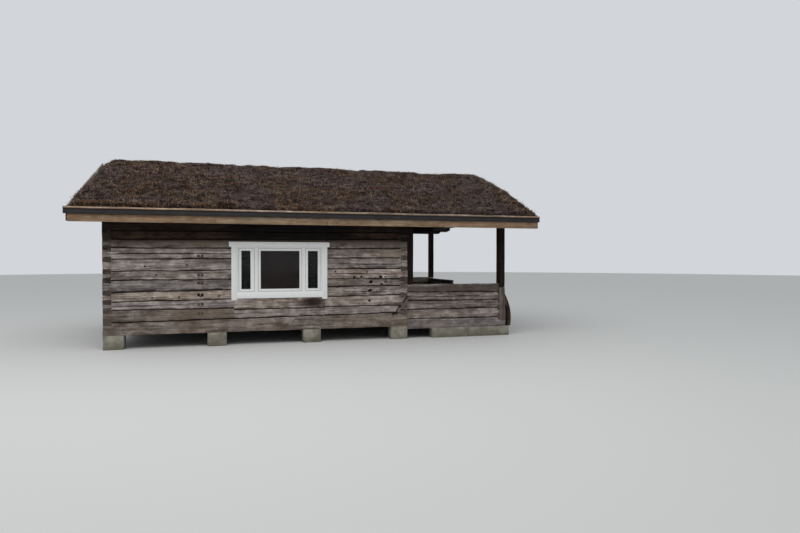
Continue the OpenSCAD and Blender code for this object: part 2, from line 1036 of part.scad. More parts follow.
translate([-origin_x, -origin_y, 0]) {
    footings();
    front_sill_log();
    front_wall_left();
    front_wall_right();
    front_wall_infill();
    front_wall_top();
    rear_wall();
    left_wall();
    inner_wall_sill();
    inner_wall_front();
    inner_wall_rear();
    inner_wall_top();
    room_floor();
    porch_floor();
    porch_wall_front();
    porch_wall_rear();
    porch_side_sill();
    porch_side_front();
    porch_side_rear();
    corner_board();
    bowed_plank();
    posts();
    lower_plates();
    upper_plates();
    tie_beam();
    ridge_beam();
    front_rafters();
    rear_rafters();
    front_deck();
    rear_deck();
    gable_boards();
    fascias();
    edge_bands();
    turf_boards();
    verge_boards();
    front_turf();
    rear_turf();
    window_casing();
    window_frame();
    window_sashes();
    window_panes();
    window_blind();
    door_frame();
    door_leaf();
    door_fittings();
}
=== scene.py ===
import json
import random
from math import cos, exp, radians, sin

import bmesh
import bpy
import numpy as np
from mathutils import Euler, Matrix, Vector

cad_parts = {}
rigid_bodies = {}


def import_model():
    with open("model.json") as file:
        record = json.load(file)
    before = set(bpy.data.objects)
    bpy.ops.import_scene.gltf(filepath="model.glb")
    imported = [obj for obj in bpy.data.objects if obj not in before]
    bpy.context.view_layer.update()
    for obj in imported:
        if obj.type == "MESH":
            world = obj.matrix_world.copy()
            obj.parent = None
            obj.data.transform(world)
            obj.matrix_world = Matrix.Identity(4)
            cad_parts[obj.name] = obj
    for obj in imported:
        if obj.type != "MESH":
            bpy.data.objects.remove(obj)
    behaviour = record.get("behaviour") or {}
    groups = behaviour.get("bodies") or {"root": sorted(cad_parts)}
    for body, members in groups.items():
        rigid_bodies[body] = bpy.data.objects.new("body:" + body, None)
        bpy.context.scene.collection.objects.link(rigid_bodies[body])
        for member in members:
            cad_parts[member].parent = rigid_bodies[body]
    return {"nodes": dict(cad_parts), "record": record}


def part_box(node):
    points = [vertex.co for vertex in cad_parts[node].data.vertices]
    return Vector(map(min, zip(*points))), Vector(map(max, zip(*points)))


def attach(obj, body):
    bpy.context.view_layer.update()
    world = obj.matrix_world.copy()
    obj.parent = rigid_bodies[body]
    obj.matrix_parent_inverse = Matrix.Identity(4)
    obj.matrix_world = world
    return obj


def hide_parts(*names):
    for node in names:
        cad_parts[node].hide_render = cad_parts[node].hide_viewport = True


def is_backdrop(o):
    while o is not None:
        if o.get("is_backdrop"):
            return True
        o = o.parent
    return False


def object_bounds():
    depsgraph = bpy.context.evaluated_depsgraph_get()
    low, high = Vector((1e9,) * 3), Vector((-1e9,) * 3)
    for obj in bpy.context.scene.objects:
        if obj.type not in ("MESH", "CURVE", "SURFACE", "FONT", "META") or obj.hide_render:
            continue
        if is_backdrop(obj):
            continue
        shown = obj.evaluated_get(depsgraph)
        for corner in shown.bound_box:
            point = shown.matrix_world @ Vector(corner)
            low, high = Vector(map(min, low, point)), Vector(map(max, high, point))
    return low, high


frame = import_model()
cadLow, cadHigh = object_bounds()
nodes = frame["nodes"]
nodeSlots = {part["node"]: part["material_slot"] for part in frame["record"]["subparts"]}
scene = bpy.context.scene
random.seed(11)
print("frame loaded")

roomFrom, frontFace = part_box("front_sill_log")[0][:2]   # the room's front left corner
roomTo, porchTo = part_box("front_sill_log")[1][0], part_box("porch_wall_front")[1][0]
alongX, alongY, alongZ = Vector((1, 0, 0)), Vector((0, 1, 0)), Vector((0, 0, 1))
roofPitch = radians(22.8)
upFront = Vector((0, cos(roofPitch), sin(roofPitch)))   # up the front slope
upRear = Vector((0, -cos(roofPitch), sin(roofPitch)))
fullTurn = 6.283


def shade(red, green, blue):
    # a colour as picked on screen, made linear
    return tuple((c / 255) ** 2.2 for c in (red, green, blue)) + (1.0,)


def clamped(value):
    return min(1.0, max(0.0, value))


# helpers for shaping by hand

def onlySelect(piece):
    bpy.ops.object.select_all(action="DESELECT")
    piece.select_set(True)
    bpy.context.view_layer.objects.active = piece


def startEdit(piece, mode="VERT"):
    onlySelect(piece)
    bpy.ops.object.mode_set(mode="EDIT")
    bpy.ops.mesh.select_mode(type=mode)


def endEdit():
    bpy.ops.object.mode_set(mode="OBJECT")


def pickVerts(piece, test):
    # in edit mode, selects the vertices whose place passes the test
    bpy.ops.mesh.select_all(action="DESELECT")
    shape = bmesh.from_edit_mesh(piece.data)
    for vert in shape.verts:
        if test(vert.co):
            vert.select_set(True)
    shape.select_flush_mode()
    bmesh.update_edit_mesh(piece.data)


def pickFaces(piece, test):
    # in edit mode, selects the faces that pass the test
    bpy.ops.mesh.select_all(action="DESELECT")
    shape = bmesh.from_edit_mesh(piece.data)
    for face in shape.faces:
        if test(face):
            face.select_set(True)
    bmesh.update_edit_mesh(piece.data)


def moveVerts(piece, offset, test):
    # moves the vertices whose place passes the test
    startEdit(piece)
    pickVerts(piece, test)
    bpy.ops.transform.translate(value=offset)
    endEdit()


def addPrimitive(add, stretch=(1, 1, 1), **settings):
    # adds a primitive, stretches it and puts its place into its mesh
    bpy.ops.object.select_all(action="DESELECT")
    add(**settings)
    piece = bpy.context.object
    piece.scale = stretch
    bpy.ops.object.transform_apply(location=True, rotation=True, scale=True)
    return piece


def copyOf(piece, name):
    # a copy with its own mesh
    copy = bpy.data.objects.new(name, piece.data.copy())
    scene.collection.objects.link(copy)
    return copy


def copyNode(nodeName, pieceName):
    # a CAD node's mesh is loose triangles, so its copy is merged and its flat faces are joined
    piece = copyOf(nodes[nodeName], pieceName)
    piece.data.materials.clear()
    onlySelect(piece)
    bpy.ops.mesh.customdata_custom_splitnormals_clear()
    startEdit(piece)
    bpy.ops.mesh.select_all(action="SELECT")
    bpy.ops.mesh.remove_doubles(threshold=0.0003)
    bpy.ops.mesh.dissolve_limited(angle_limit=radians(0.6))
    endEdit()
    return piece


def reach(piece, along):
    places = [vert.co.dot(along) for vert in piece.data.vertices]
    return min(places), max(places)


def cutAt(piece, normal, points):
    # cuts all faces along planes without opening them
    startEdit(piece)
    for point in points:
        bpy.ops.mesh.select_all(action="SELECT")
        bpy.ops.mesh.bisect(plane_co=point, plane_no=normal, threshold=0.0005)
    endEdit()


def cutSome(piece, normal, points, test):
    # cuts only the faces whose middle and direction pass the test
    startEdit(piece, "FACE")
    for point in points:
        pickFaces(piece, lambda face: test(face.calc_center_median(), face.normal))
        bpy.ops.mesh.bisect(plane_co=point, plane_no=normal, threshold=0.0005)
    endEdit()


def cutAcross(piece, along, step):
    low, high = reach(piece, along)
    count = max(1, round((high - low) / step))
    size = (high - low) / count
    cutAt(piece, along, [along * (low + size * (i + random.uniform(-0.2, 0.2))) for i in range(1, count)])


def keepBetween(piece, along, low=None, high=None):
    # takes off what lies below low and above high in a direction, and closes the cuts
    startEdit(piece)
    for at, isLow in ((low, True), (high, False)):
        if at is not None:
            bpy.ops.mesh.select_all(action="SELECT")
            bpy.ops.mesh.bisect(
                plane_co=along * at, plane_no=along, use_fill=True, clear_inner=isLow, clear_outer=not isLow)
    endEdit()
    return piece


def softenEdges(piece, width, segments=2, sharpness=28):
    # bevels the sharp edges that stick out
    startEdit(piece, "EDGE")
    bpy.ops.mesh.select_all(action="DESELECT")
    shape = bmesh.from_edit_mesh(piece.data)
    for edge in shape.edges:
        if len(edge.link_faces) == 2 and edge.calc_face_angle() > radians(sharpness) and edge.is_convex:
            edge.select_set(True)
    bmesh.update_edit_mesh(piece.data)
    bpy.ops.mesh.bevel(offset=width, segments=segments, profile=0.5, affect="EDGES", clamp_overlap=False)
    endEdit()


def clouds(name, size, depth=1):
    texture = bpy.data.textures.new(name, "CLOUDS")
    texture.cloud_type = "COLOR"
    texture.noise_scale = size
    texture.noise_depth = depth
    return texture


noises = {
    "slow": clouds("slowClouds", 0.75), "hewn": clouds("hewnClouds", 0.30),
    "chips": clouds("chipClouds", 0.09, 2), "lumps": clouds("lumpClouds", 0.22, 2),
    "clods": clouds("clodClouds", 0.07, 2),
}


def roughen(piece, pushes, direction="RGB_TO_XYZ", group=""):
    # pushes the surface about by each noise, as far as is said
    for name, strength in pushes.items():
        push = piece.modifiers.new("push", "DISPLACE")
        push.texture = noises[name]
        push.texture_coords = "LOCAL"
        push.direction = direction
        push.strength = strength
        push.mid_level = 0.5
        push.vertex_group = group
        onlySelect(piece)
        bpy.ops.object.modifier_apply(modifier=push.name)


def readArray(collection, key, width=1, kind=float):
    values = np.empty(len(collection) * width, kind)
    collection.foreach_get(key, values)
    return values.reshape(-1, width) if width > 1 else values


def keepInside(piece, margin=0.0):
    # nothing stands outside the CAD box
    co = readArray(piece.data.vertices, "co", 3)
    co = np.clip(co, np.array(cadLow) + margin, np.array(cadHigh) - margin)
    piece.data.vertices.foreach_set("co", co.ravel())
    piece.data.update()


def looseParts(mesh):
    # number of the loose part that each vertex belongs to
    owner = np.arange(len(mesh.vertices))
    edges = readArray(mesh.edges, "vertices", 2, np.int64)
    while True:
        low = np.minimum(owner[edges[:, 0]], owner[edges[:, 1]])
        before = owner.copy()
        np.minimum.at(owner, edges[:, 0], low)
        np.minimum.at(owner, edges[:, 1], low)
        owner = owner[owner]
        if (owner == before).all():
            return np.unique(owner, return_inverse=True)[1]


def markGrain(piece, along, course=None, middle=None, shadeAndShelter=None, looks=None, seed=1):
    # writes where each corner lies in its own log or board, that log's tone, which faces are end grain, and,
    # when given, the painted shade at each corner
    mesh = piece.data
    rng = np.random.default_rng(seed)
    along = Vector(along).normalized()
    side = along.cross(alongZ if abs(along.z) < 0.9 else alongX).normalized()
    axes = np.array([along, side, side.cross(along)])
    co = readArray(mesh.vertices, "co", 3)
    starts = readArray(mesh.polygons, "loop_start", kind=np.int64)
    totals = readArray(mesh.polygons, "loop_total", kind=np.int64)
    corners = readArray(mesh.loops, "vertex_index", kind=np.int64)
    faceOf = np.repeat(np.arange(len(totals)), totals)
    centres, normals = readArray(mesh.polygons, "center", 3), readArray(mesh.polygons, "normal", 3)
    part = course(centres) if course else looseParts(mesh)[corners[starts]]
    count = part.max() + 1
    if middle:
        local = co[corners] - middle(part[faceOf], co[corners])
    else:
        low, high = np.full((count, 3), 1e9), np.full((count, 3), -1e9)
        np.minimum.at(low, part, centres)
        np.maximum.at(high, part, centres)
        local = co[corners] - ((low + high) / 2)[part[faceOf]]
    shifts = rng.uniform(-4, 4, (count, 3)) * [1, 0, 0] + rng.uniform(-0.04, 0.04, (count, 3))
    grain = local @ axes.T + shifts[part[faceOf]]
    tones, warmths = rng.random(count), rng.random(count)
    for number, (tone, warmth) in enumerate(looks or []):
        if number < count:
            tones[number], warmths[number] = tone, warmth
    ends = (np.abs(normals @ np.array(along)) > 0.75).astype(float)

    def write(name, kind, domain, key, values):
        attribute = mesh.attributes.new(name, kind, domain)
        attribute.data.foreach_set(key, np.ascontiguousarray(values, np.float32).ravel())

    write("grain", "FLOAT_VECTOR", "CORNER", "vector", grain)
    write("tone", "FLOAT", "FACE", "value", tones[part])
    write("warmth", "FLOAT", "FACE", "value", warmths[part])
    write("endGrain", "FLOAT", "FACE", "value", ends)
    if shadeAndShelter:
        write("shadeAndShelter", "FLOAT", "CORNER", "value", shadeAndShelter(co[corners]))


def finishPiece(piece, slotName, material, *stoodFor, smooth=35):
    onlySelect(piece)
    bpy.ops.object.shade_smooth_by_angle(angle=radians(smooth))
    piece.data.materials.clear()
    piece.data.materials.append(material)
    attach(piece, "root")
    if stoodFor:
        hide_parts(*stoodFor)
    return piece


def dress(piece, nodeName, finish, edge, segments=2, sharpness=28, cuts=(), wear={},
          along=None, shadeAndShelter=None, seed=1):
    # rounds the edges, cuts the faces up in steps, roughens them and gives the piece its grain and finish
    softenEdges(piece, edge, segments, sharpness)
    for direction, step in cuts:
        cutAcross(piece, direction, step)
    roughen(piece, wear)
    keepInside(piece)
    if along:
        markGrain(piece, along, shadeAndShelter=shadeAndShelter, seed=seed)
    finishPiece(piece, nodeSlots[nodeName], finish, nodeName)


def joined(parts, name):
    bpy.ops.object.select_all(action="DESELECT")
    for part in parts:
        part.select_set(True)
    bpy.context.view_layer.objects.active = parts[0]
    if len(parts) > 1:
        bpy.ops.object.join()
    bpy.ops.object.transform_apply(location=True, rotation=True, scale=True)
    parts[0].name = name
    parts[0].data.name = name
    return parts[0]


def ring(opening, width, front, back):
    # a flat frame standing in the front wall, made from one face by inset and extrude
    x0, x1, z0, z1 = opening
    frameRing = addPrimitive(
        bpy.ops.mesh.primitive_plane_add, (x1 - x0, z1 - z0, 1), size=1,
        location=((x0 + x1) / 2, back, (z0 + z1) / 2), rotation=(radians(90), 0, 0))
    startEdit(frameRing, "FACE")
    bpy.ops.mesh.select_all(action="SELECT")
    bpy.ops.mesh.inset(thickness=width)
    bpy.ops.mesh.delete(type="FACE")
    bpy.ops.mesh.select_all(action="SELECT")
    bpy.ops.mesh.extrude_region_move(TRANSFORM_OT_translate={"value": (0, front - back, 0)})
    bpy.ops.mesh.select_all(action="SELECT")
    bpy.ops.mesh.normals_make_consistent(inside=False)
    endEdit()
    return frameRing


def sawAt(base, pieceName, across, edges, gap):
    # saws a piece into boards between the edges, each closed, with a gap between them
    boards = []
    for start, end in zip(edges, edges[1:]):
        board = keepBetween(copyOf(base, pieceName), across, start + gap / 2, end - gap / 2)
        if len(board.data.vertices):
            boards.append(board)
        else:
            bpy.data.objects.remove(board)
    bpy.data.objects.remove(base)
    return joined(boards, pieceName)


sawing = {"wander": 0.0}   # how far a cut strays, in board widths


def sawBoards(base, pieceName, across, width, gap):
    # saws a piece into boards of about one width
    low, high = reach(base, across)
    count = max(1, round((high - low) / width))
    size = (high - low) / count
    stray = sawing["wander"]
    inner = [low + size * (i + random.uniform(-stray, stray)) for i in range(1, count)]
    return sawAt(base, pieceName, across, [low] + inner + [low + size * count], gap)


# nodes and the shared groups

def feed(tree, socket, value):
    # links an output to the socket, or sets a fixed value on it
    if isinstance(value, bpy.types.NodeSocket):
        tree.links.new(value, socket)
    else:
        socket.default_value = value


def addNode(tree, kind, inputs={}, **settings):
    node = tree.nodes.new(kind)
    for key, value in settings.items():
        setattr(node, key, value)
    for key, value in inputs.items():
        feed(tree, node.inputs[key], value)
    return node


def arrange(tree):
    # lays the nodes out in columns, by how many links lie between each and the end
    column = {node.name: 0 for node in tree.nodes}
    links = [(link.from_node.name, link.to_node.name) for link in tree.links]
    moved = True
    while moved:
        moved = False
        for source, target in links:
            if column[source] <= column[target]:
                column[source] = column[target] + 1
                moved = True
    filled = {}
    for node in tree.nodes:
        row = filled.get(column[node.name], 0)
        node.location = (-220 * column[node.name], -260 * row)
        filled[column[node.name]] = row + 1


def mathNode(tree, operation, first, second=None, clamp=False):
    values = {0: first} if second is None else {0: first, 1: second}
    return addNode(tree, "ShaderNodeMath", values, operation=operation, use_clamp=clamp).outputs[0]


def times(tree, first, second):
    return mathNode(tree, "MULTIPLY", first, second)


def plus(tree, first, second):
    return mathNode(tree, "ADD", first, second)


def minus(tree, first, second, clamp=False):
    return mathNode(tree, "SUBTRACT", first, second, clamp)


def rangeNode(tree, value, fromLow, fromHigh, toLow=0.0, toHigh=1.0, kind="SMOOTHSTEP"):
    ends = dict(enumerate((value, fromLow, fromHigh, toLow, toHigh)))
    return addNode(tree, "ShaderNodeMapRange", ends, interpolation_type=kind).outputs[0]


def mixColours(tree, factor, first, second, blend="MIX"):
    settings = {"data_type": "RGBA", "blend_type": blend, "clamp_factor": True}
    return addNode(tree, "ShaderNodeMix", {0: factor, 6: first, 7: second}, **settings).outputs[2]


def multiplied(tree, colour, by):
    return mixColours(tree, 1.0, colour, by, "MULTIPLY")


def noiseNode(tree, vector, scale, detail=2.0, roughness=0.5, output="Fac"):
    inputs = {"Vector": vector, "Scale": scale, "Detail": detail, "Roughness": roughness}
    return addNode(tree, "ShaderNodeTexNoise", inputs).outputs[output]


def stretched(tree, vector, stretch):
    return addNode(tree, "ShaderNodeVectorMath", {0: vector, 1: stretch}, operation="MULTIPLY").outputs[0]


def separated(tree, vector):
    return addNode(tree, "ShaderNodeSeparateXYZ", {0: vector}).outputs


def readAttribute(tree, name, output="Fac"):
    return addNode(tree, "ShaderNodeAttribute", attribute_name=name).outputs[output]


def objectPlace(tree):
    return addNode(tree, "ShaderNodeTexCoord").outputs["Object"]


def placeGroup(tree, group, inputs):
    return addNode(tree, "ShaderNodeGroup", inputs, node_tree=group).outputs


def newGroup(name, inputs, outputs):
    group = bpy.data.node_groups.new(name, "ShaderNodeTree")
    for label, kind in inputs.items():
        group.interface.new_socket(label, in_out="INPUT", socket_type="NodeSocket" + kind)
    for label in outputs:
        group.interface.new_socket(label, in_out="OUTPUT", socket_type="NodeSocketFloat")
    return group, addNode(group, "NodeGroupInput").outputs


def closeGroup(group, results):
    addNode(group, "NodeGroupOutput", results)
    arrange(group)
    return group


def makeTimberGrain():
    # bands, streaks, fibre, blotches, drying cracks and knots of one log, from its own grain coordinates
    group, given = newGroup(
        "timberGrain", {"Grain": "Vector", "Cracks": "Float", "Knots": "Float", "Knot Axes": "Vector"},
        ("Weather", "Bleach", "Fibre", "Cracks", "Knots"))
    grain = given["Grain"]
    sway = noiseNode(group, stretched(group, grain, (0.6, 1, 1)), 2.0, 1.5, output="Color")
    swayed = {0: sway, 1: (0, 0.03, 0.03), 2: grain}
    bent = addNode(group, "ShaderNodeVectorMath", swayed, operation="MULTIPLY_ADD").outputs[0]
    bands = noiseNode(group, stretched(group, bent, (0.11, 1, 1)), 8, 4, 0.55)
    streaks = noiseNode(group, stretched(group, bent, (0.05, 1, 1)), 26, 4, 0.6)
    fibre = noiseNode(group, stretched(group, bent, (0.04, 1, 1)), 130, 3, 0.62)
    blotches = noiseNode(group, stretched(group, grain, (0.6, 1, 1)), 7, 6, 0.68)
    mix = plus(group, times(group, bands, 0.32), times(group, streaks, 0.26))
    mix = plus(group, mix, times(group, blotches, 0.42))
    bleach = plus(group, times(group, streaks, 0.4), times(group, blotches, 0.6))

    # a crack runs where this noise crosses its middle
    lines = noiseNode(group, stretched(group, bent, (0.025, 1, 1)), 24, 1.0)
    lines = mathNode(group, "ABSOLUTE", minus(group, lines, 0.5))
    where = noiseNode(group, stretched(group, grain, (0.35, 5, 5)), 1.9, 2)
    width = times(group, rangeNode(group, where, 0.48, 0.66), given["Cracks"])
    width = plus(group, times(group, width, 0.012), 0.0001)
    split = minus(group, 1.0, mathNode(group, "DIVIDE", lines, width), clamp=True)

    knots = addNode(group, "ShaderNodeTexVoronoi", {
        "Vector": stretched(group, grain, given["Knot Axes"]), "Scale": 3.4, "Randomness": 1.0}).outputs
    knot = rangeNode(group, knots["Distance"], 0.04, 0.09, 1, 0)
    chosen = addNode(group, "ShaderNodeSeparateColor", {0: knots["Color"]}).outputs[0]
    knot = times(group, knot, rangeNode(group, chosen, 0.50, 0.56))
    return closeGroup(group, {
        "Weather": rangeNode(group, mix, 0.40, 0.60), "Bleach": rangeNode(group, bleach, 0.52, 0.66),
        "Fibre": rangeNode(group, fibre, 0.28, 0.72),
        "Cracks": mathNode(group, "MINIMUM", times(group, split, 2.5), 1.0),
        "Knots": times(group, knot, given["Knots"]),
    })


def makeEndGrain():
    # growth rings round the heart and cracks that run out from it
    group, given = newGroup("endGrainRings", {"Grain": "Vector"}, ("Rings", "Checks"))
    length, across, height = separated(group, given["Grain"])
    radius = plus(group, times(group, across, across), times(group, height, height))
    wobble = noiseNode(group, given["Grain"], 14, 2)
    radius = plus(group, mathNode(group, "SQRT", radius), times(group, wobble, 0.02))
    rings = mathNode(group, "SINE", times(group, radius, 900))
    angle = mathNode(group, "ARCTAN2", height, across)
    spokes = {0: times(group, angle, 1.6), 1: times(group, length, 3.0)}
    checks = noiseNode(group, addNode(group, "ShaderNodeCombineXYZ", spokes).outputs[0], 2.2, 2)
    checks = mathNode(group, "ABSOLUTE", minus(group, checks, 0.5))
    return closeGroup(group, {
        "Rings": rangeNode(group, rings, -1, 1), "Checks": rangeNode(group, checks, 0.0, 0.03, 1, 0)})


def makeSplash():
    # dirt thrown up from the ground, and big slow stains, both on Object coordinates
    group, given = newGroup(
        "groundSplash", {"Place": "Vector", "Full": "Float", "Gone": "Float"}, ("Splash", "Stains"))
    ragged = times(group, noiseNode(group, given["Place"], 3.5, 4, 0.6), 0.5)
    height = plus(group, separated(group, given["Place"])[2], minus(group, ragged, 0.25))
    span = minus(group, given["Gone"], given["Full"])
    share = mathNode(group, "DIVIDE", minus(group, height, given["Full"]), span)
    stains = noiseNode(group, stretched(group, given["Place"], (0.6, 0.6, 1.4)), 0.9, 5, 0.6)
    return closeGroup(group, {
        "Splash": minus(group, 1.0, share, clamp=True), "Stains": rangeNode(group, stains, 0.35, 0.68)})


timberGrain = makeTimberGrain()
endGrainRings = makeEndGrain()
groundSplash = makeSplash()


def newMaterial(name):
    material = bpy.data.materials.new(name)
    material.use_nodes = True
    return material, material.node_tree


def finishMaterial(material, sockets, relief=None):
    # fills the surface's sockets; relief is a height, the bump's strength and its depth
    tree = material.node_tree
    if relief:
        bump = addNode(tree, "ShaderNodeBump", dict(zip(("Height", "Strength", "Distance"), relief)))
        sockets = dict(sockets, Normal=bump.outputs[0])
    for label, value in sockets.items():
        feed(tree, tree.nodes["Principled BSDF"].inputs[label], value)
    arrange(tree)
    return material


def timber(name, look):
    # one timber finish; look holds its colours, how strongly each trace of weather shows, and the colours of
    # the painted shade under the eaves, in the porch and in the joints
    material, tree = newMaterial(name)
    grain = readAttribute(tree, "grain", "Vector")
    tone, warmth, ends = [readAttribute(tree, label) for label in ("tone", "warmth", "endGrain")]
    spot = objectPlace(tree)
    wood = placeGroup(tree, timberGrain, {
        "Grain": grain, "Cracks": look["cracks"], "Knots": look["knots"], "Knot Axes": look["knotAxes"]})
    dirt = placeGroup(tree, groundSplash, {
        "Place": spot, "Full": look["splashFull"], "Gone": look["splashGone"]})
    rings = placeGroup(tree, endGrainRings, {"Grain": grain})
    weather, fibre = wood["Weather"], wood["Fibre"]

    colour = mixColours(tree, weather, look["dark"], look["light"])
    colour = mixColours(tree, times(tree, wood["Bleach"], look["bleach"]), colour, look["pale"])
    warm = times(tree, times(tree, dirt["Stains"], warmth), look["stains"])
    colour = mixColours(tree, warm, colour, look["warm"])
    cool = times(tree, minus(tree, 0.5, warmth, clamp=True), look["coolness"])
    colour = mixColours(tree, cool, colour, look["cool"])
    brightness = rangeNode(tree, tone, 0, 1, 1 - look["tones"], 1 + look["tones"])
    colour = multiplied(tree, colour, brightness)
    colour = multiplied(tree, colour, rangeNode(tree, fibre, 0.0, 1.0, 0.76, 1.22))
    # painted shade under the eaves and inside the porch, which also stands for browner unweathered wood; the
    # darkest step is near black, for deep painted shade and the stain below the window
    if look["shadedAndSheltered"]:
        shadeAndShelter = readAttribute(tree, "shadeAndShelter")
        shadeAndShelterMask = rangeNode(tree, plus(tree, shadeAndShelter, times(tree, weather, 0.30)), 0.25, 0.95)
        shadedAndSheltered = mixColours(tree, weather, look["shadedAndSheltered"], look["shadedAndShelteredLight"])
        shadedAndSheltered = mixColours(tree, rangeNode(tree, shadeAndShelter, 1.0, 1.8), shadedAndSheltered, look["blackShadeAndStain"])
        colour = mixColours(tree, shadeAndShelterMask, colour, shadedAndSheltered)
    colour = mixColours(tree, times(tree, dirt["Splash"], look["splash"]), colour, look["soil"])
    colour = mixColours(tree, wood["Knots"], colour, look["knot"])
    colour = mixColours(tree, wood["Cracks"], colour, look["crack"])

    cutEnd = mixColours(tree, rings["Rings"], look["endDark"], look["endLight"])
    cutEnd = mixColours(tree, wood["Bleach"], cutEnd, look["endLight"])
    cutEnd = mixColours(tree, rings["Checks"], cutEnd, look["crack"])
    cutEnd = multiplied(tree, cutEnd, brightness)
    if look["lowEnds"]:   # the log ends are paler near the ground
        nearGround = rangeNode(tree, separated(tree, spot)[2], 0.85, 1.25, 0.65, 0.0)
        cutEnd = mixColours(tree, nearGround, cutEnd, look["lowEnds"])
    # the log ends get the same painted shade
    if look["shadedAndSheltered"]:
        cutEnd = mixColours(tree, shadeAndShelterMask, cutEnd, look["shadedAndSheltered"])
    colour = mixColours(tree, ends, colour, cutEnd)
    # painted shade in the joints, the splits and the slanting joint, its edge made ragged by the grain
    if look["seams"]:
        mottle = plus(tree, fibre, minus(tree, 0.5, weather))
        seamShade = plus(tree, readAttribute(tree, "seamShade"), times(tree, mottle, 0.24))
        colour = mixColours(tree, rangeNode(tree, seamShade, 0.45, 0.95), colour, look["joint"])

    height = plus(tree, times(tree, fibre, 0.30), times(tree, weather, 0.55))
    height = minus(tree, height, times(tree, wood["Cracks"], 1.6))
    height = minus(tree, height, times(tree, rings["Checks"], ends))
    roughness = rangeNode(tree, weather, 0, 1, look["roughness"] + 0.06, look["roughness"] - 0.06)
    return finishMaterial(
        material, {"Base Color": colour, "Roughness": roughness, "Specular IOR Level": look["gloss"]},
        (height, look["relief"], 0.007))


greyLook = {
    "dark": shade(79, 68, 62), "light": shade(157, 146, 139), "pale": shade(206, 196, 186),
    "warm": shade(134, 118, 101), "cool": shade(114, 112, 118), "coolness": 0.8, "bleach": 0.60,
    "stains": 0.75, "tones": 0.30, "cracks": 1.0, "knots": 0.85, "knotAxes": (0.62, 0, 1),
    # the joint colour is painted shade in the grooves between the logs
    "knot": shade(50, 38, 32), "crack": shade(16, 12, 10), "joint": shade(24, 16, 13), "seams": True,
    "splash": 0.45, "soil": shade(98, 84, 74), "splashFull": 0.2, "splashGone": 0.85,
    # painted shade under the eaves and in the porch, also standing for browner unweathered wood, down to near
    # black
    "shadedAndSheltered": shade(30, 22, 17), "shadedAndShelteredLight": shade(66, 50, 40), "blackShadeAndStain": shade(19, 12, 9),
    "endDark": shade(34, 27, 23), "endLight": shade(92, 80, 72), "lowEnds": shade(98, 87, 81),
    "roughness": 0.86, "relief": 0.9, "gloss": 0.25,
}
porchLook = dict(greyLook, splashGone=0.5, splash=0.3, warm=shade(118, 100, 88), light=shade(149, 140, 133))
# lighter colours that paint light onto the rear porch wall's inner side, which lies in shade
porchRearLook = dict(
    porchLook, dark=shade(112, 105, 94), light=shade(172, 165, 152), pale=shade(205, 198, 186))
innerLook = dict(greyLook, endDark=shade(66, 56, 50), endLight=shade(118, 106, 98))
dryLook = dict(greyLook, lowEnds=None, splash=0.0, shadedAndSheltered=None, seams=False)   # plain, off the ground
darkLook = dict(
    dryLook, dark=shade(19, 11, 7), light=shade(38, 25, 17), pale=shade(54, 44, 37), warm=shade(36, 22, 15),
    coolness=0.0, bleach=0.4, stains=0.4, knots=0.5, endDark=shade(18, 13, 11), endLight=shade(36, 28, 23),
    relief=0.6, tones=0.15)
barkLook = dict(
    darkLook, dark=shade(26, 20, 14), light=shade(82, 67, 50), pale=shade(124, 106, 84),
    warm=shade(66, 48, 33), bleach=0.7, relief=1.0)
spotLook = dict(
    darkLook, dark=shade(38, 29, 24), light=shade(64, 51, 43), endDark=shade(38, 29, 24),
    endLight=shade(62, 50, 43))
roofLook = dict(
    dryLook, dark=shade(80, 62, 46), light=shade(116, 95, 74), pale=shade(142, 121, 98),
    warm=shade(86, 60, 40), coolness=0.0, bleach=0.4, stains=0.5, knots=0.9, endDark=shade(70, 56, 44),
    endLight=shade(112, 94, 76), relief=0.5, tones=0.15)
gableLook = dict(
    dryLook, dark=shade(72, 61, 54), light=shade(118, 105, 96), pale=shade(156, 144, 134),
    bleach=0.5, tones=0.24, knotAxes=(0.62, 1, 0))
cornerLook = dict(gableLook, dark=shade(60, 50, 44), light=shade(104, 91, 82), pale=shade(132, 119, 109))
plugLook = dict(
    gableLook, dark=shade(70, 60, 54), light=shade(104, 93, 86), pale=shade(120, 108, 100),
    endDark=shade(60, 51, 46), endLight=shade(100, 89, 82))
floorLook = dict(
    dryLook, dark=shade(96, 80, 64), light=shade(142, 124, 104), pale=shade(168, 152, 132),
    warm=shade(92, 74, 58), cracks=0.6, coolness=0.0, tones=0.14)
pineLook = dict(
    dryLook, dark=shade(116, 96, 77), light=shade(146, 125, 102), pale=shade(168, 148, 124),
    warm=shade(128, 94, 68), coolness=0.0, bleach=0.4, stains=0.7, tones=0.05, cracks=0.3, knots=1.0,
    knotAxes=(0.9, 0, 1.5), knot=shade(72, 46, 34), crack=shade(58, 42, 30), endDark=shade(92, 76, 58),
    endLight=shade(124, 106, 84), roughness=0.7, relief=0.4)
# its last three colours paint shade along the pole's lower edge
poleLook = dict(
    dryLook, dark=shade(104, 90, 76), light=shade(150, 136, 122), pale=shade(200, 190, 178),
    warm=shade(140, 100, 66), coolness=0.0, bleach=0.7, stains=0.6, cracks=0.8, knots=0.6, tones=0.15,
    endDark=shade(110, 62, 44), endLight=shade(140, 88, 62), shadedAndSheltered=shade(62, 46, 35),
    shadedAndShelteredLight=shade(98, 76, 58), blackShadeAndStain=shade(52, 38, 29))
vergeLook = dict(
    poleLook, dark=shade(120, 112, 103), light=shade(168, 160, 149), pale=shade(210, 203, 193),
    warm=shade(150, 130, 112), bleach=0.9, shadedAndSheltered=None)
doorLook = dict(
    roofLook, dark=shade(66, 49, 37), light=shade(98, 76, 58), pale=shade(122, 100, 80), cracks=0.5)

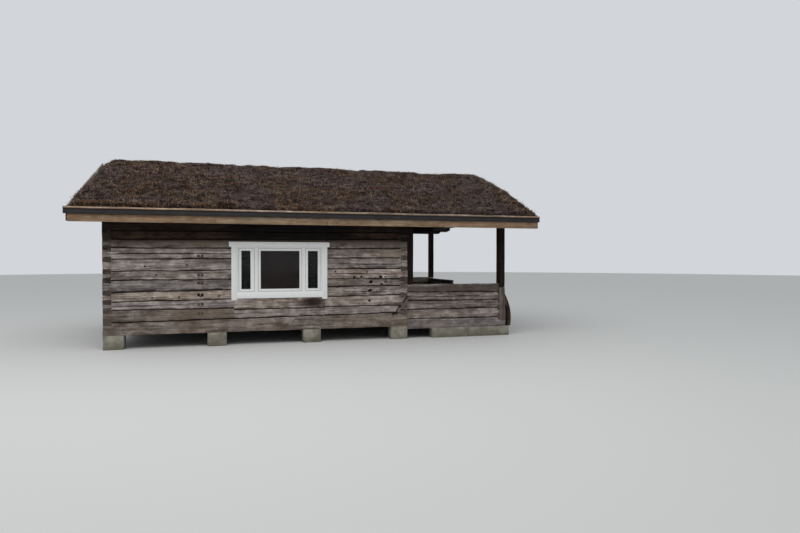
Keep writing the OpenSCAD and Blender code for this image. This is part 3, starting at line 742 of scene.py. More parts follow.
greyLogs = timber("greyHewnLogs", greyLook)
porchLogs = timber("porchHewnLogs", porchLook)
innerLogs = timber("innerHewnLogs", innerLook)
porchRearLogs = timber("paintedLitPorchLogs", porchRearLook)
darkTimber = timber("darkTarredTimber", darkLook)
roofTimber = timber("sawnRoofTimber", roofLook)
gableTimber = timber("weatheredBoards", gableLook)
barkTimber = timber("darkBarkSlab", barkLook)
cornerTimber = timber("brownCornerBoard", cornerLook)
plugTimber = timber("dowelPlugs", plugLook)
spotTimber = timber("brownKnots", spotLook)
floorTimber = timber("wornFloorBoards", floorLook)
newPine = timber("newPine", pineLook)
poleTimber = timber("bleachedPole", poleLook)
vergeTimber = timber("bleachedVerge", vergeLook)
doorTimber = timber("brownDoorBoards", doorLook)

concreteLook = {
    "dark": shade(110, 105, 94), "light": shade(150, 145, 131), "damp": shade(88, 83, 68), "dampTo": 0.18,
    "roughness": 0.93, "relief": 0.6,
}


def makeConcrete(look):
    material, tree = newMaterial("castConcrete")
    spot = objectPlace(tree)
    blotches = rangeNode(tree, noiseNode(tree, spot, 5, 6, 0.62), 0.32, 0.68)
    grit = noiseNode(tree, spot, 110, 3, 0.6)
    colour = mixColours(tree, blotches, look["dark"], look["light"])
    colour = multiplied(tree, colour, rangeNode(tree, grit, 0.2, 0.8, 0.78, 1.18))
    damp = placeGroup(tree, groundSplash, {"Place": spot, "Full": 0.0, "Gone": look["dampTo"]})
    colour = mixColours(tree, times(tree, damp["Splash"], 0.6), colour, look["damp"])
    pores = rangeNode(tree, noiseNode(tree, spot, 42, 2), 0.60, 0.70)
    height = minus(tree, times(tree, grit, 0.5), pores)
    return finishMaterial(
        material, {"Base Color": colour, "Roughness": look["roughness"]}, (height, look["relief"], 0.006))


paintLook = {"white": shade(228, 228, 225), "grime": shade(196, 194, 188), "grimy": 0.18, "roughness": 0.42}


def makePaint(look):
    # white paint with brush marks and streaks of grime
    material, tree = newMaterial("whiteWindowPaint")
    spot = objectPlace(tree)
    brush = noiseNode(tree, stretched(tree, spot, (14, 60, 14)), 5, 3)
    runs = noiseNode(tree, stretched(tree, spot, (9, 9, 2.5)), 1, 3, 0.6)
    grime = times(tree, rangeNode(tree, runs, 0.5, 0.75), look["grimy"])
    colour = mixColours(tree, grime, look["white"], look["grime"])
    return finishMaterial(
        material, {"Base Color": colour, "Roughness": look["roughness"]}, (brush, 0.12, 0.002))


# the darkest colour here is a painted shadow of the pole along the band's upper edge, with where it starts
# and ends
feltLook = {
    "dark": shade(25, 23, 23), "light": shade(40, 37, 38), "poleShadow": shade(16, 10, 7), "poleShadowFrom": 2.846,
    "poleShadowTo": 2.864, "roughness": 0.72,
}


def makeFelt(look):
    material, tree = newMaterial("darkRoofFelt")
    spot = objectPlace(tree)
    fold = noiseNode(tree, stretched(tree, spot, (0.8, 1, 1)), 6, 4, 0.6)
    grit = noiseNode(tree, spot, 260, 2)
    colour = mixColours(tree, rangeNode(tree, fold, 0.35, 0.7), look["dark"], look["light"])
    high = rangeNode(tree, separated(tree, spot)[2], look["poleShadowFrom"], look["poleShadowTo"])
    colour = mixColours(tree, high, colour, look["poleShadow"])   # painted shadow of the pole along its upper edge
    height = plus(tree, times(tree, grit, 0.25), fold)
    return finishMaterial(
        material, {"Base Color": colour, "Roughness": look["roughness"]}, (height, 0.5, 0.006))


glassLook = {"tint": (0.50, 0.51, 0.50, 1), "bend": 1.28, "clean": 0.015, "dusty": 0.09}


def makeGlass(look):
    material, tree = newMaterial("windowGlass")
    dust = noiseNode(tree, objectPlace(tree), 7, 5, 0.6)
    return finishMaterial(material, {
        "Base Color": look["tint"], "Transmission Weight": 1.0, "IOR": look["bend"],
        "Roughness": rangeNode(tree, dust, 0.4, 0.75, look["clean"], look["dusty"]),
    })


clothLook = {"dark": shade(54, 34, 30), "light": shade(72, 47, 42), "roughness": 0.9, "sheen": 0.15}


def makeBlindCloth(look):
    material, tree = newMaterial("brownBlind")
    threads = noiseNode(tree, stretched(tree, objectPlace(tree), (40, 1, 900)), 1, 2)
    colour = mixColours(tree, threads, look["dark"], look["light"])
    sockets = {"Base Color": colour, "Roughness": look["roughness"], "Sheen Weight": look["sheen"]}
    return finishMaterial(material, sockets, (threads, 0.3, 0.001))


ironLook = {"black": shade(34, 33, 32), "rust": shade(86, 58, 40), "metal": 0.6}


def makeIron(look):
    material, tree = newMaterial("blackIron")
    spot = objectPlace(tree)
    mottle = noiseNode(tree, spot, 30, 4, 0.6)
    return finishMaterial(material, {
        "Base Color": mixColours(tree, rangeNode(tree, mottle, 0.52, 0.7), look["black"], look["rust"]),
        "Roughness": rangeNode(tree, mottle, 0.3, 0.7, 0.45, 0.8), "Metallic": look["metal"],
    }, (noiseNode(tree, spot, 160, 3), 0.3, 0.001))


concrete, whitePaint, feltSkin = makeConcrete(concreteLook), makePaint(paintLook), makeFelt(feltLook)
windowGlass, blindCloth, blackIron = makeGlass(glassLook), makeBlindCloth(clothLook), makeIron(ironLook)
print("materials made")


# hewn log walls

# the joint heights of the long walls at both ends, as in the CAD
roomCourses = {
    "from": roomFrom, "to": roomTo,
    "left": [0.300, 0.560, 0.830, 1.000, 1.190, 1.455, 1.640, 1.890, 2.130, 2.310, 2.490, 2.750],
    "right": [0.300, 0.630, 0.800, 1.050, 1.280, 1.440, 1.680, 1.930, 2.140, 2.360, 2.520, 2.750],
}
porchCourses = {
    "from": roomTo, "to": porchTo,
    "left": [0.230, 0.463, 0.690, 0.900, 1.110, 1.290],
    "right": [0.230, 0.455, 0.680, 0.880, 1.085, 1.290],
}
infillCourses = {
    "from": roomFrom, "to": roomTo,
    "left": [0.300, 0.560, 0.785, 1.050], "right": [0.300, 0.630, 0.785, 1.050],
}


def sideCourses(joints):
    # side logs lie half a course off the long walls' logs
    halves = [joints[0]] + [(a + b) / 2 for a, b in zip(joints, joints[1:])] + [joints[-1]]
    return {"from": 0.0, "to": 1.0, "left": halves, "right": halves}


leftCourses = sideCourses(roomCourses["left"])
innerCourses = sideCourses(roomCourses["right"])
porchSideCourses = sideCourses(porchCourses["right"])
wallDetail = {
    "grooveDepth": 0.014, "deeper": 0.034,   # the joints' grooves in the CAD, and how much deeper they get
    "edge": 0.005, "endField": 0.012,
    "step": 0.15, "rows": (0.3, 0.68),   # cuts across, and rows of cuts along as shares of a course
    "wear": {"hewn": 0.016, "chips": 0.007}, "bow": {"slow": 0.024}, "heldOver": 0.12,
    # how far the painted shade of a joint reaches above and below it, and how strong it is on the rims of the
    # log ends
    "seamAbove": 0.040, "seamBelow": 0.016, "rimSeam": 0.66,
    # the split keys paint shade into each split
    "splitSeam": 1.1, "splitWider": 1.6, "splitIn": 0.05,   # a split's dark seam, and how deep in it is dark
    "lowLog": {"below": 0.47, "longer": 0.045},   # the porch wall's lowest log ends further out
}
# tone and warmth of the logs from the foot up
leftLooks = [
    (0.36, 0.50), (0.14, 0.95), (0.82, 0.15), (0.94, 0.65), (0.32, 0.16), (0.50, 0.45),
    (0.80, 0.30), (0.94, 0.30), (0.40, 0.70), (0.30, 0.50), (0.20, 0.50)]
rightLooks = [
    (0.60, 0.55), (0.80, 0.20), (0.88, 0.45), (0.62, 0.40), (0.10, 0.50), (0.84, 0.50),
    (0.66, 0.22), (0.50, 1.00), (0.30, 0.60), (0.25, 0.50), (0.20, 0.50)]
infillLooks = [(0.35, 0.75), (0.62, 0.35), (0.66, 0.45)]
porchLooks = [(0.50, 0.15), (0.74, 0.45), (0.32, 0.40), (0.46, 0.45), (0.10, 0.45)]
logWalls = [
    # node, piece, courses, direction, finish, looks, how much painted eave shade it gets, which also stands
    # for wood the eaves keep from the weather
    ("front_sill_log", "frontSillLog", roomCourses, alongX, greyLogs, leftLooks, 1.0),
    ("front_wall_left", "frontWallLeft", roomCourses, alongX, greyLogs, leftLooks, 1.0),
    ("front_wall_right", "frontWallRight", roomCourses, alongX, greyLogs, rightLooks, 1.0),
    ("front_wall_infill", "frontWallInfill", infillCourses, alongX, greyLogs, infillLooks, 0.0),
    ("front_wall_top", "frontWallTop", roomCourses, alongX, greyLogs, leftLooks, 1.0),
    ("rear_wall", "rearWall", roomCourses, alongX, greyLogs, [], 0.8),
    ("left_wall", "leftWall", leftCourses, alongY, greyLogs, [], 0.4),
    ("inner_wall_sill", "innerWallSill", innerCourses, alongY, innerLogs, [], 0.0),
    ("inner_wall_front", "innerWallFront", innerCourses, alongY, innerLogs, [], 0.9),
    ("inner_wall_rear", "innerWallRear", innerCourses, alongY, innerLogs, [], 0.9),
    ("inner_wall_top", "innerWallTop", innerCourses, alongY, innerLogs, [], 0.9),
    ("porch_wall_front", "porchWallFront", porchCourses, alongX, porchLogs, porchLooks, 0.0),
    ("porch_wall_rear", "porchWallRear", porchCourses, alongX, porchRearLogs, [], 0.0),
    ("porch_side_sill", "porchSideSill", porchSideCourses, alongY, porchLogs, [], 0.0),
    ("porch_side_front", "porchSideFront", porchSideCourses, alongY, porchLogs, [], 0.0),
    ("porch_side_rear", "porchSideRear", porchSideCourses, alongY, porchLogs, [], 0.0),
]
# long drying splits in the front face: from, to, half width, depth
splits = {
    "frontSillLog": [((1.595, 0.495), (1.705, 0.628), 0.007, 0.025)],
    "frontWallLeft": [
        ((-4.45, 2.022), (-1.98, 2.014), 0.010, 0.032), ((-4.55, 0.905), (-2.70, 0.925), 0.005, 0.020)],
    "frontWallRight": [
        ((0.17, 1.786), (1.69, 1.780), 0.008, 0.026), ((0.26, 1.566), (1.69, 1.548), 0.008, 0.026),
        ((0.38, 1.152), (1.82, 1.118), 0.009, 0.028)],
    "porchWallFront": [
        ((2.05, 0.985), (3.90, 1.000), 0.009, 0.026), ((3.50, 0.835), (4.34, 0.826), 0.005, 0.020)],
}
splitSteps = 12   # each split is opened in so many stretches
# the slanting joint to the porch wall, and the side of it on which each piece lies
scarf = {
    "low": Vector((1.705, 0, 0.630)), "high": Vector((2.000, 0, 0.990)), "open": 0.008,
    # the seam keys paint shade in the gap: how dark, how wide, how far past its ends and how far into the
    # wall
    "seamShade": 1.4, "seamWidth": 0.016, "seamPast": 0.02, "seamIn": 0.2,
    "sides": {"frontWallRight": -1, "frontSillLog": -1, "porchWallFront": 1},
}
scarfSpan = scarf["high"] - scarf["low"]
scarfLine = scarfSpan.normalized()
shading = {
    # painted shade under the eaves, which also stands for the browner wood they keep from the weather: how
    # dark the logs get, by the courses above the lowest of the top five joints
    "courses": [0.8, 1.15, 1.85, 2.1, 2.9, 3.15], "dark": [0.0, 0.16, 0.50, 1.0, 1.1, 1.4],
    "sideJoints": [1.9, 2.13, 2.33, 2.505, 2.75],   # the top five joints of the side walls
    # the logs over the window are the darkest, from the second of those courses up
    "window": {"from": -2.2, "to": 0.8, "fade": 0.4, "dark": 0.7, "course": 2.0, "rise": 0.1},
    "stain": {"x": -0.25, "z": 0.92, "halfWidth": 0.42, "halfHeight": 0.16, "dark": 1.3},
    # painted shade: the porch wall's top log is dark but for its upper edge, which stays light as it catches
    # the light, and the side wall's inner side is nearly black
    "porchTop": {"dark": 0.42, "rise": 0.02, "litEdge": 0.02},
    "porchInner": {"dark": 1.3, "from": 0.5, "rise": 0.3},
}


def shareAlong(wall, co):
    # 0 at a long wall's left end, 1 at its right end; the side walls' joints are level
    return (co[..., 0] - wall["from"]) / wall["span"] if wall["along"].x else np.zeros_like(co[..., 0])


def jointHeights(wall, co):
    share = shareAlong(wall, np.asarray(co, float))
    return wall["left"] + (wall["right"] - wall["left"]) * share[..., None]


def deepenGrooves(wall):
    across, faces = wall["across"], wall["faces"]

    def inGroove(co):
        depth = min(co[across] - faces[0], faces[1] - co[across])
        near = np.abs(jointHeights(wall, co) - co.z).min()
        return abs(depth - wallDetail["grooveDepth"]) < 0.002 and near < 0.003

    for sign in (1, -1):
        inwards = Vector((0, 0, 0))
        inwards[across] = wallDetail["deeper"] * sign
        moveVerts(wall["piece"], inwards, lambda co: inGroove(co) and (co[across] - wall["heart"]) * sign < 0)


def openScarf(wall):
    # the timbers stand a little apart along the slanting joint
    side = scarf["sides"].get(wall["name"])
    if side:
        away = Vector((scarfLine.z, 0, -scarfLine.x)) * side
        moveVerts(wall["piece"], away * scarf["open"], lambda co: abs((co - scarf["low"]).dot(away)) < 0.004
                  and -0.01 < (co - scarf["low"]).dot(scarfLine) < scarfSpan.length + 0.01)


def insetLogEnds(wall):
    # makes an inner field on every log end, and gives the places of the rims round them
    piece, along = wall["piece"], wall["along"]
    startEdit(piece, "FACE")
    pickFaces(piece, lambda face: abs(face.normal.dot(along)) > 0.95 and face.calc_area() > 0.003)
    bpy.ops.mesh.inset(thickness=wallDetail["endField"], use_individual=True)
    piece.vertex_groups.new(name="endField")
    bpy.ops.object.vertex_group_assign()
    endEdit()
    rims = set()
    for polygon in piece.data.polygons:
        if abs(polygon.normal.dot(along)) > 0.95:
            corners = [piece.data.vertices[i] for i in polygon.vertices]
            rims.update(tuple(vert.co) for vert in corners if not any(g.weight > 0.5 for g in vert.groups))
    return rims


def cutCourses(wall, low, high):
    # rows of cuts along every log, sloping as its joints do
    left, slopes = wall["left"], (wall["right"] - wall["left"]) / wall["span"]
    for k in range(len(left) - 1):
        for part in wallDetail["rows"]:
            z = left[k] * (1 - part) + left[k + 1] * part
            rise = slopes[k] * (1 - part) + slopes[k + 1] * part
            if low < z + rise * wall["span"] / 2 < high:
                cutAt(wall["piece"], Vector((-rise, 0, 1)), [Vector((wall["from"], 0, z))])


def openSplits(wall):
    piece = wall["piece"]
    for (x0, z0), (x1, z1), half, depth in splits.get(wall["name"], []):
        slope = (z1 - z0) / (x1 - x0)
        point, normal = Vector((x0, 0, z0)), Vector((-slope, 0, 1)).normalized()

        def off(co):
            return abs(co.z - z0 - slope * (co.x - x0))

        cutSome(piece, normal, [point - normal * half, point, point + normal * half],
                lambda middle, way: way.y < -0.9 and x0 < middle.x < x1 and off(middle) < 0.12)
        startEdit(piece)
        for k in range(splitSteps):
            a, b = x0 + (x1 - x0) * k / splitSteps, x0 + (x1 - x0) * (k + 1) / splitSteps
            strength = min(1.0, k / 2 + 0.2, (splitSteps - 1 - k) / 2 + 0.2) * random.uniform(0.7, 1.0)
            pickVerts(piece, lambda co: a <= co.x < b and co.y < frontFace + 0.003 and off(co) < 0.0008)
            bpy.ops.transform.translate(value=(0, depth * strength, random.uniform(-0.003, 0.003)))
        endEdit()


def markSeams(wall, rims):
    # painted shade: 1 in the bottom of the joints, the splits and the slanting joint
    piece = wall["piece"]
    co = readArray(piece.data.vertices, "co", 3)
    x, y, z = co.T
    off = z[:, None] - jointHeights(wall, co)[:, 1:-1]   # widest on the shaded underside of the upper log
    seamShade = np.clip(1 - np.maximum(off / wallDetail["seamAbove"], -off / wallDetail["seamBelow"]), 0, 1).max(1)
    # the rims round the log ends get painted shade too
    onRim = [tuple(vert.co) in rims for vert in piece.data.vertices]
    seamShade = np.where(onRim, np.maximum(seamShade, wallDetail["rimSeam"]), seamShade)
    for (x0, z0), (x1, z1), half, _ in splits.get(wall["name"], []):
        off = np.abs(z - z0 - (z1 - z0) / (x1 - x0) * (x - x0))
        inside = (x > x0) & (x < x1) & (y < frontFace + wallDetail["splitIn"])
        dark = np.clip(wallDetail["splitSeam"] - off / (half * wallDetail["splitWider"]), 0, 1)
        seamShade = np.maximum(seamShade, np.where(inside, dark, 0))
    off = np.abs((x - scarf["low"].x) * scarfLine.z - (z - scarf["low"].z) * scarfLine.x)
    inside = (z > scarf["low"].z - scarf["seamPast"]) & (z < scarf["high"].z + scarf["seamPast"])
    inside &= y < frontFace + scarf["seamIn"]
    dark = np.clip(scarf["seamShade"] - off / scarf["seamWidth"], 0, 1)
    seamShade = np.maximum(seamShade, np.where(inside, dark, 0))
    piece.data.attributes.new("seamShade", "FLOAT", "POINT").data.foreach_set("value", seamShade.astype(np.float32))


def shadeAndShelterOf(wall, co, high, eaves):
    # how dark each place is: painted shade under the eaves, also standing for unweathered wood, darker over
    # the window, the stain, and painted shade inside the porch
    x, y, z = co.T
    window, stain, top, inner = [shading[key] for key in ("window", "stain", "porchTop", "porchInner")]
    joints = np.broadcast_to(np.array(shading["sideJoints"]), (len(co), 5))
    if wall["along"].x and len(wall["left"]) > 6:
        joints = jointHeights(wall, co)[:, -5:]
    up = ((z[:, None] - joints[:, :-1]) / np.diff(joints, axis=1)).clip(0, 1).sum(1)
    dark = np.interp(up, shading["courses"], shading["dark"]) * eaves
    if wall["along"].x:
        over = np.clip(np.minimum(x - window["from"], window["to"] - x) / window["fade"], 0, 1) * (y < 0)
        dark += over * np.clip((up - window["course"]) / window["rise"], 0, 1) * window["dark"]
        away = np.hypot((x - stain["x"]) / stain["halfWidth"], (z - stain["z"]) / stain["halfHeight"])
        dark += stain["dark"] * np.clip(1 - away, 0, 1) * (y < 0)
    if wall["name"] == "porchWallFront":
        up = z - jointHeights(wall, co)[:, -2]
        dark += top["dark"] * np.clip(up / top["rise"], 0, 1) * (z < high - top["litEdge"])
    if wall["name"] == "porchSideRear":
        dark += inner["dark"] * (x < wall["heart"]) * np.clip((z - inner["from"]) / inner["rise"], 0, 1)
    return dark


def hewnWall(nodeName, pieceName, courses, along, finish, looks, eaves, seed):
    piece = copyNode(nodeName, pieceName)
    faces = reach(piece, alongY if along.x else alongX)
    wall = {
        "piece": piece, "name": pieceName, "along": along, "across": 1 if along.x else 0,
        "faces": faces, "heart": sum(faces) / 2,
        "from": courses["from"], "span": courses["to"] - courses["from"],
        "left": np.array(courses["left"]), "right": np.array(courses["right"]),
    }
    left, right = wall["left"], wall["right"]
    deepenGrooves(wall)
    openScarf(wall)
    if pieceName == "porchWallFront":
        lowLog = wallDetail["lowLog"]
        moveVerts(piece, (lowLog["longer"], 0, 0),
                  lambda co: co.x > porchTo - 0.005 and co.z < lowLog["below"])
    softenEdges(piece, wallDetail["edge"])
    rims = insetLogEnds(wall)
    cutAcross(piece, along, wallDetail["step"])
    low, high = reach(piece, alongZ)
    cutCourses(wall, low, high)
    openSplits(wall)
    markSeams(wall, rims)
    free = piece.vertex_groups.new(name="free")   # the top and the foot stay where other timbers rest on them
    for vert in piece.data.vertices:
        fromRest = min(vert.co.z - low, high - vert.co.z)
        free.add([vert.index], clamped(fromRest / wallDetail["heldOver"]), "REPLACE")
    roughen(piece, wallDetail["bow"], group="free")
    roughen(piece, wallDetail["wear"])

    def course(centres):
        return np.clip((centres[:, 2, None] > jointHeights(wall, centres)).sum(1) - 1, 0, len(left) - 2)

    def middle(part, co):
        t = shareAlong(wall, co)
        centre = np.zeros_like(co)
        centre[:, wall["across"]] = wall["heart"]
        centre[:, 2] = (left[part] + left[part + 1]) / 2 * (1 - t) + (right[part] + right[part + 1]) / 2 * t
        return centre

    markGrain(piece, along, course, middle, lambda co: shadeAndShelterOf(wall, co, high, eaves), looks, seed)
    finishPiece(piece, nodeSlots[nodeName], finish, nodeName)


for number, row in enumerate(logWalls):
    hewnWall(*row, seed=20 + number)
print("log walls hewn")

# dowel ends in pairs and dark knots, where they show in the front wall
marks = {
    "dowelX": -2.674, "dowelZ": (1.965, 1.554, 1.375, 1.122, 0.921, 0.722), "blackDowel": 1.122,
    "halfApart": 0.037, "dowelSize": (0.054, 0.030, 0.058), "dowelIn": 0.007, "knotIn": 0.001,
    "blackFrom": 0.027,   # knots from this size up are black
    "knots": [   # x, z and size
        (1.110, 1.366, 0.036), (1.086, 1.168, 0.036), (1.074, 0.927, 0.028), (0.272, 1.612, 0.020),
        (0.709, 1.480, 0.028), (0.880, 1.488, 0.026), (0.959, 1.454, 0.022), (1.014, 1.596, 0.020),
        (1.346, 1.484, 0.030), (1.453, 1.476, 0.020), (1.368, 1.314, 0.026), (1.465, 1.362, 0.024),
        (-3.780, 1.745, 0.018), (-2.950, 1.780, 0.018), (-3.640, 1.075, 0.020),
        (-3.110, 1.080, 0.018), (-2.290, 1.095, 0.022), (-3.560, 1.560, 0.018)],
}
bpy.context.view_layer.update()   # ray_cast needs the walls as they are now


def wallHit(x, z):
    # where a line straight from the front meets the hewn front wall
    for name in ("frontWallLeft", "frontWallRight", "frontWallInfill", "frontSillLog", "porchWallFront"):
        found, spot = bpy.data.objects[name].ray_cast((x, frontFace - 1, z), (0, 1, 0))[:2]
        if found and spot.y < frontFace + 0.08:
            return spot


def makeDowel():
    dowel = addPrimitive(bpy.ops.mesh.primitive_cube_add, marks["dowelSize"], size=1, location=(0, 0, 0))
    startEdit(dowel, "FACE")
    pickFaces(dowel, lambda face: face.normal.y < -0.9)
    bpy.ops.mesh.inset(thickness=0.008)
    bpy.ops.transform.translate(value=(0.001, 0.002, -0.001))
    endEdit()
    softenEdges(dowel, 0.003, 1)
    return dowel


def makeKnot():
    # a flat cone of radius 1 with a hollow off its middle
    knot = addPrimitive(
        bpy.ops.mesh.primitive_circle_add, vertices=9, radius=1, fill_type="NGON",
        rotation=(radians(90), 0, 0))
    startEdit(knot, "FACE")
    bpy.ops.mesh.select_all(action="SELECT")
    bpy.ops.mesh.extrude_region_move(TRANSFORM_OT_translate={"value": (0, -0.30, 0)})
    bpy.ops.transform.resize(value=(0.78, 1, 0.78))
    bpy.ops.mesh.inset(thickness=0.35)
    bpy.ops.transform.translate(value=(0.08, 0.05, 0.05))
    bpy.ops.mesh.select_all(action="SELECT")
    bpy.ops.mesh.normals_make_consistent(inside=False)
    endEdit()
    return knot


dowel, knot = makeDowel(), makeKnot()
plugs, spots, blacks = [], [], []
for z in marks["dowelZ"]:
    for off in (-marks["halfApart"], marks["halfApart"]):
        turned = Matrix.Rotation(random.uniform(-0.12, 0.12), 4, "Y")
        seat = Vector((0, marks["dowelIn"], random.uniform(-0.006, 0.006)))
        seat += wallHit(marks["dowelX"] + off, z)
        copy = copyOf(dowel, "dowelEnd")
        copy.data.transform(Matrix.Translation(seat) @ turned)
        (blacks if z == marks["blackDowel"] else plugs).append(copy)
for x, z, size in marks["knots"]:
    grown = Matrix.Diagonal((size * random.uniform(1.1, 1.7), size * 0.7, size * random.uniform(0.9, 1.2), 1))
    turned = Matrix.Rotation(random.uniform(-0.5, 0.5), 4, "Y")
    copy = copyOf(knot, "wallKnot")
    seat = wallHit(x, z) + Vector((0, marks["knotIn"], 0))
    copy.data.transform(Matrix.Translation(seat) @ turned @ grown)
    (blacks if size > marks["blackFrom"] else spots).append(copy)
bpy.data.objects.remove(dowel)
bpy.data.objects.remove(knot)
for parts, name, finish in (
        (plugs, "dowelEnds", plugTimber), (spots, "wallKnots", spotTimber),
        (blacks, "blackKnots", darkTimber)):
    markGrain(joined(parts, name), alongY, seed=58)
    finishPiece(parts[0], "grey_logs", finish)
print("dowels and knots set")


# posts, plates, beams and roof timbers

beams = [
    # node, piece, grain direction, edge, step, finish
    ("posts", "porchPosts", alongZ, 0.007, 0.25, darkTimber),
    ("lower_plates", "lowerPlates", alongX, 0.007, 0.35, darkTimber),
    ("upper_plates", "upperPlates", alongX, 0.007, 0.35, darkTimber),
    ("tie_beam", "tieBeam", alongY, 0.007, 0.35, darkTimber),
    ("ridge_beam", "ridgeBeam", alongX, 0.006, 0.35, roofTimber),
    ("front_rafters", "frontRafters", upFront, 0.003, 0.6, roofTimber),
    ("rear_rafters", "rearRafters", upRear, 0.003, 0.6, roofTimber),
    ("corner_board", "cornerBoard", alongZ, 0.004, 0.12, cornerTimber),
    ("bowed_plank", "bowedSlab", alongZ, 0.004, 0.12, barkTimber),
    ("door_frame", "doorFrame", alongZ, 0.003, 0.4, doorTimber),
]
beamWear = {"hewn": 0.006, "chips": 0.003}
# the front right post laps over the end of the porch wall's top log
endPost = {"fromX": 4.3, "toY": -2.3, "faceY": -2.5, "footTop": 1.4, "foot": 0.09, "out": 0.030}
cornerDrop = 0.06
for number, (nodeName, pieceName, along, edge, step, finish) in enumerate(beams):
    beam = copyNode(nodeName, pieceName)
    if nodeName == "posts":
        moveVerts(beam, (0, 0, -endPost["foot"]), lambda co: co.x > endPost["fromX"]
                  and co.y < endPost["toY"] and co.z < endPost["footTop"])
        moveVerts(beam, (0, -endPost["out"], 0), lambda co: co.x > endPost["fromX"]
                  and co.y < endPost["faceY"])
    if nodeName == "corner_board":
        moveVerts(beam, (0, 0, -cornerDrop), lambda co: True)
    dress(beam, nodeName, finish, edge, cuts=[(along, step)], wear=beamWear, along=along, seed=60 + number)
print("beams and posts done")


# boards

boardings = [
    # node, piece, direction across the boards, board width, gap, grain, finish, edge
    ("front_deck", "frontDeckBoards", upFront, 0.145, 0.003, alongX, roofTimber, 0.002),
    ("rear_deck", "rearDeckBoards", upRear, 0.145, 0.003, alongX, roofTimber, 0.002),
    ("gable_boards", "gableBoards", alongY, 0.150, 0.006, alongZ, gableTimber, 0.003),
    ("door_leaf", "doorPlanks", alongY, 0.1283, 0.002, alongZ, doorTimber, 0.002),
]
boardWear = {"hewn": 0.003}
for number, (nodeName, pieceName, across, width, gap, along, finish, edge) in enumerate(boardings):
    boards = sawBoards(copyNode(nodeName, pieceName), pieceName, across, width, gap)
    dress(boards, nodeName, finish, edge, 1, wear=boardWear, along=along, seed=90 + number)

floors = [
    # node, joists, boards, top of the joists
    ("room_floor", "roomJoists", "roomFloorBoards", 0.472),
    ("porch_floor", "porchJoists", "porchFloorBoards", 0.422),
]
floorBoard = {"width": 0.14, "gap": 0.004, "edge": 0.003}
for number, (nodeName, joistName, boardName, level) in enumerate(floors):
    joists = keepBetween(copyNode(nodeName, joistName), alongZ, high=level)
    dress(joists, nodeName, roofTimber, floorBoard["edge"], 1, along=alongY, seed=110 + number)
    boards = keepBetween(copyNode(nodeName, boardName), alongZ, low=level)
    boards = sawBoards(boards, boardName, alongY, floorBoard["width"], floorBoard["gap"])
    dress(boards, nodeName, floorTimber, floorBoard["edge"], wear=boardWear, along=alongX, seed=120 + number)
print("boards sawn")


# roof edges

fasciaCuts = [-9.0, -2.33, 0.0, 2.58, 9.0]   # where the fascia boards butt together, with room at the ends
fascia = sawAt(copyNode("fascias", "fasciaBoards"), "fasciaBoards", alongX, fasciaCuts, gap=0.003)
dress(fascia, "fascias", newPine, 0.003, cuts=[(alongX, 0.5)], wear={"slow": 0.006}, along=alongX, seed=130)

bands = copyNode("edge_bands", "edgeBands")
dress(bands, "edge_bands", feltSkin, 0.006, cuts=[(alongX, 0.15)], wear={"hewn": 0.007, "chips": 0.004})

# the pole's lower edge gets painted shade: how far up it reaches and how strong it is
pole = {"wear": {"slow": 0.010, "hewn": 0.008, "chips": 0.005}, "shadedEdge": 0.012, "brown": 0.65}
poles = copyNode("turf_boards", "turfPoles")
dress(poles, "turf_boards", poleTimber, 0.004, 1, cuts=[(alongX, 0.12)], wear=pole["wear"], along=alongX,
      shadeAndShelter=lambda co: pole["brown"] * (co[:, 2] < co[:, 2].min() + pole["shadedEdge"]), seed=131)

ridgeY = reach(nodes["front_turf"], alongY)[1]
# the front left verge board stands proud of the turf on its upper half
proudVerge = {
    "cuts": (-2.3, -1.6, -0.8), "toX": -5.0, "from": -1.7, "lift": 0.03, "topAt": 4.18, "fall": 0.35,
    "ridge": 0.3,
}
for pieceName, low, high, up in (
        ("frontVergeBoards", None, ridgeY, upFront), ("rearVergeBoards", ridgeY, None, upRear)):
    verges = keepBetween(copyNode("verge_boards", pieceName), alongY, low, high)
    if pieceName == "frontVergeBoards":
        cutAt(verges, alongY, [alongY * at for at in proudVerge["cuts"]])
        moveVerts(verges, (0, 0, proudVerge["lift"]), lambda co: co.x < proudVerge["toX"]
                  and co.y > proudVerge["from"]
                  and co.z > proudVerge["topAt"] - proudVerge["fall"] * (proudVerge["ridge"] - co.y))
    dress(verges, "verge_boards", vergeTimber, 0.003, cuts=[(alongY, 0.3)], wear={"hewn": 0.005},
          along=up, seed=132)
print("roof edges done")


# footings

blocks = copyNode("footings", "castBlocks")
dress(blocks, "footings", concrete, 0.012, cuts=[(alongX, 0.12), (alongZ, 0.07)],
      wear={"hewn": 0.010, "chips": 0.008})


# window

paneLow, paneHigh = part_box("window_panes")
openLow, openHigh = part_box("window_frame")
window = {
    "panes": [(-0.730, 0.23), (0.0, 0.86), (0.730, 0.23)],   # off the middle, and width
    "sash": 0.050, "sashFront": 0.010, "sashBack": 0.055, "sashEdge": 0.006,
    "bead": 0.004, "beadFront": 0.019, "lap": 0.001, "beadEdge": 0.0015,
    "stopWidth": 0.036, "stopFront": 0.016, "stopIn": 0.016, "stopBevel": 0.008,
}
dress(copyNode("window_casing", "windowCasing"), "window_casing", whitePaint, 0.004)
dress(copyNode("window_frame", "windowFrame"), "window_frame", whitePaint, 0.003)


def grownBy(opening, size):
    x0, x1, z0, z1 = opening
    return x0 - size, x1 + size, z0 - size, z1 + size


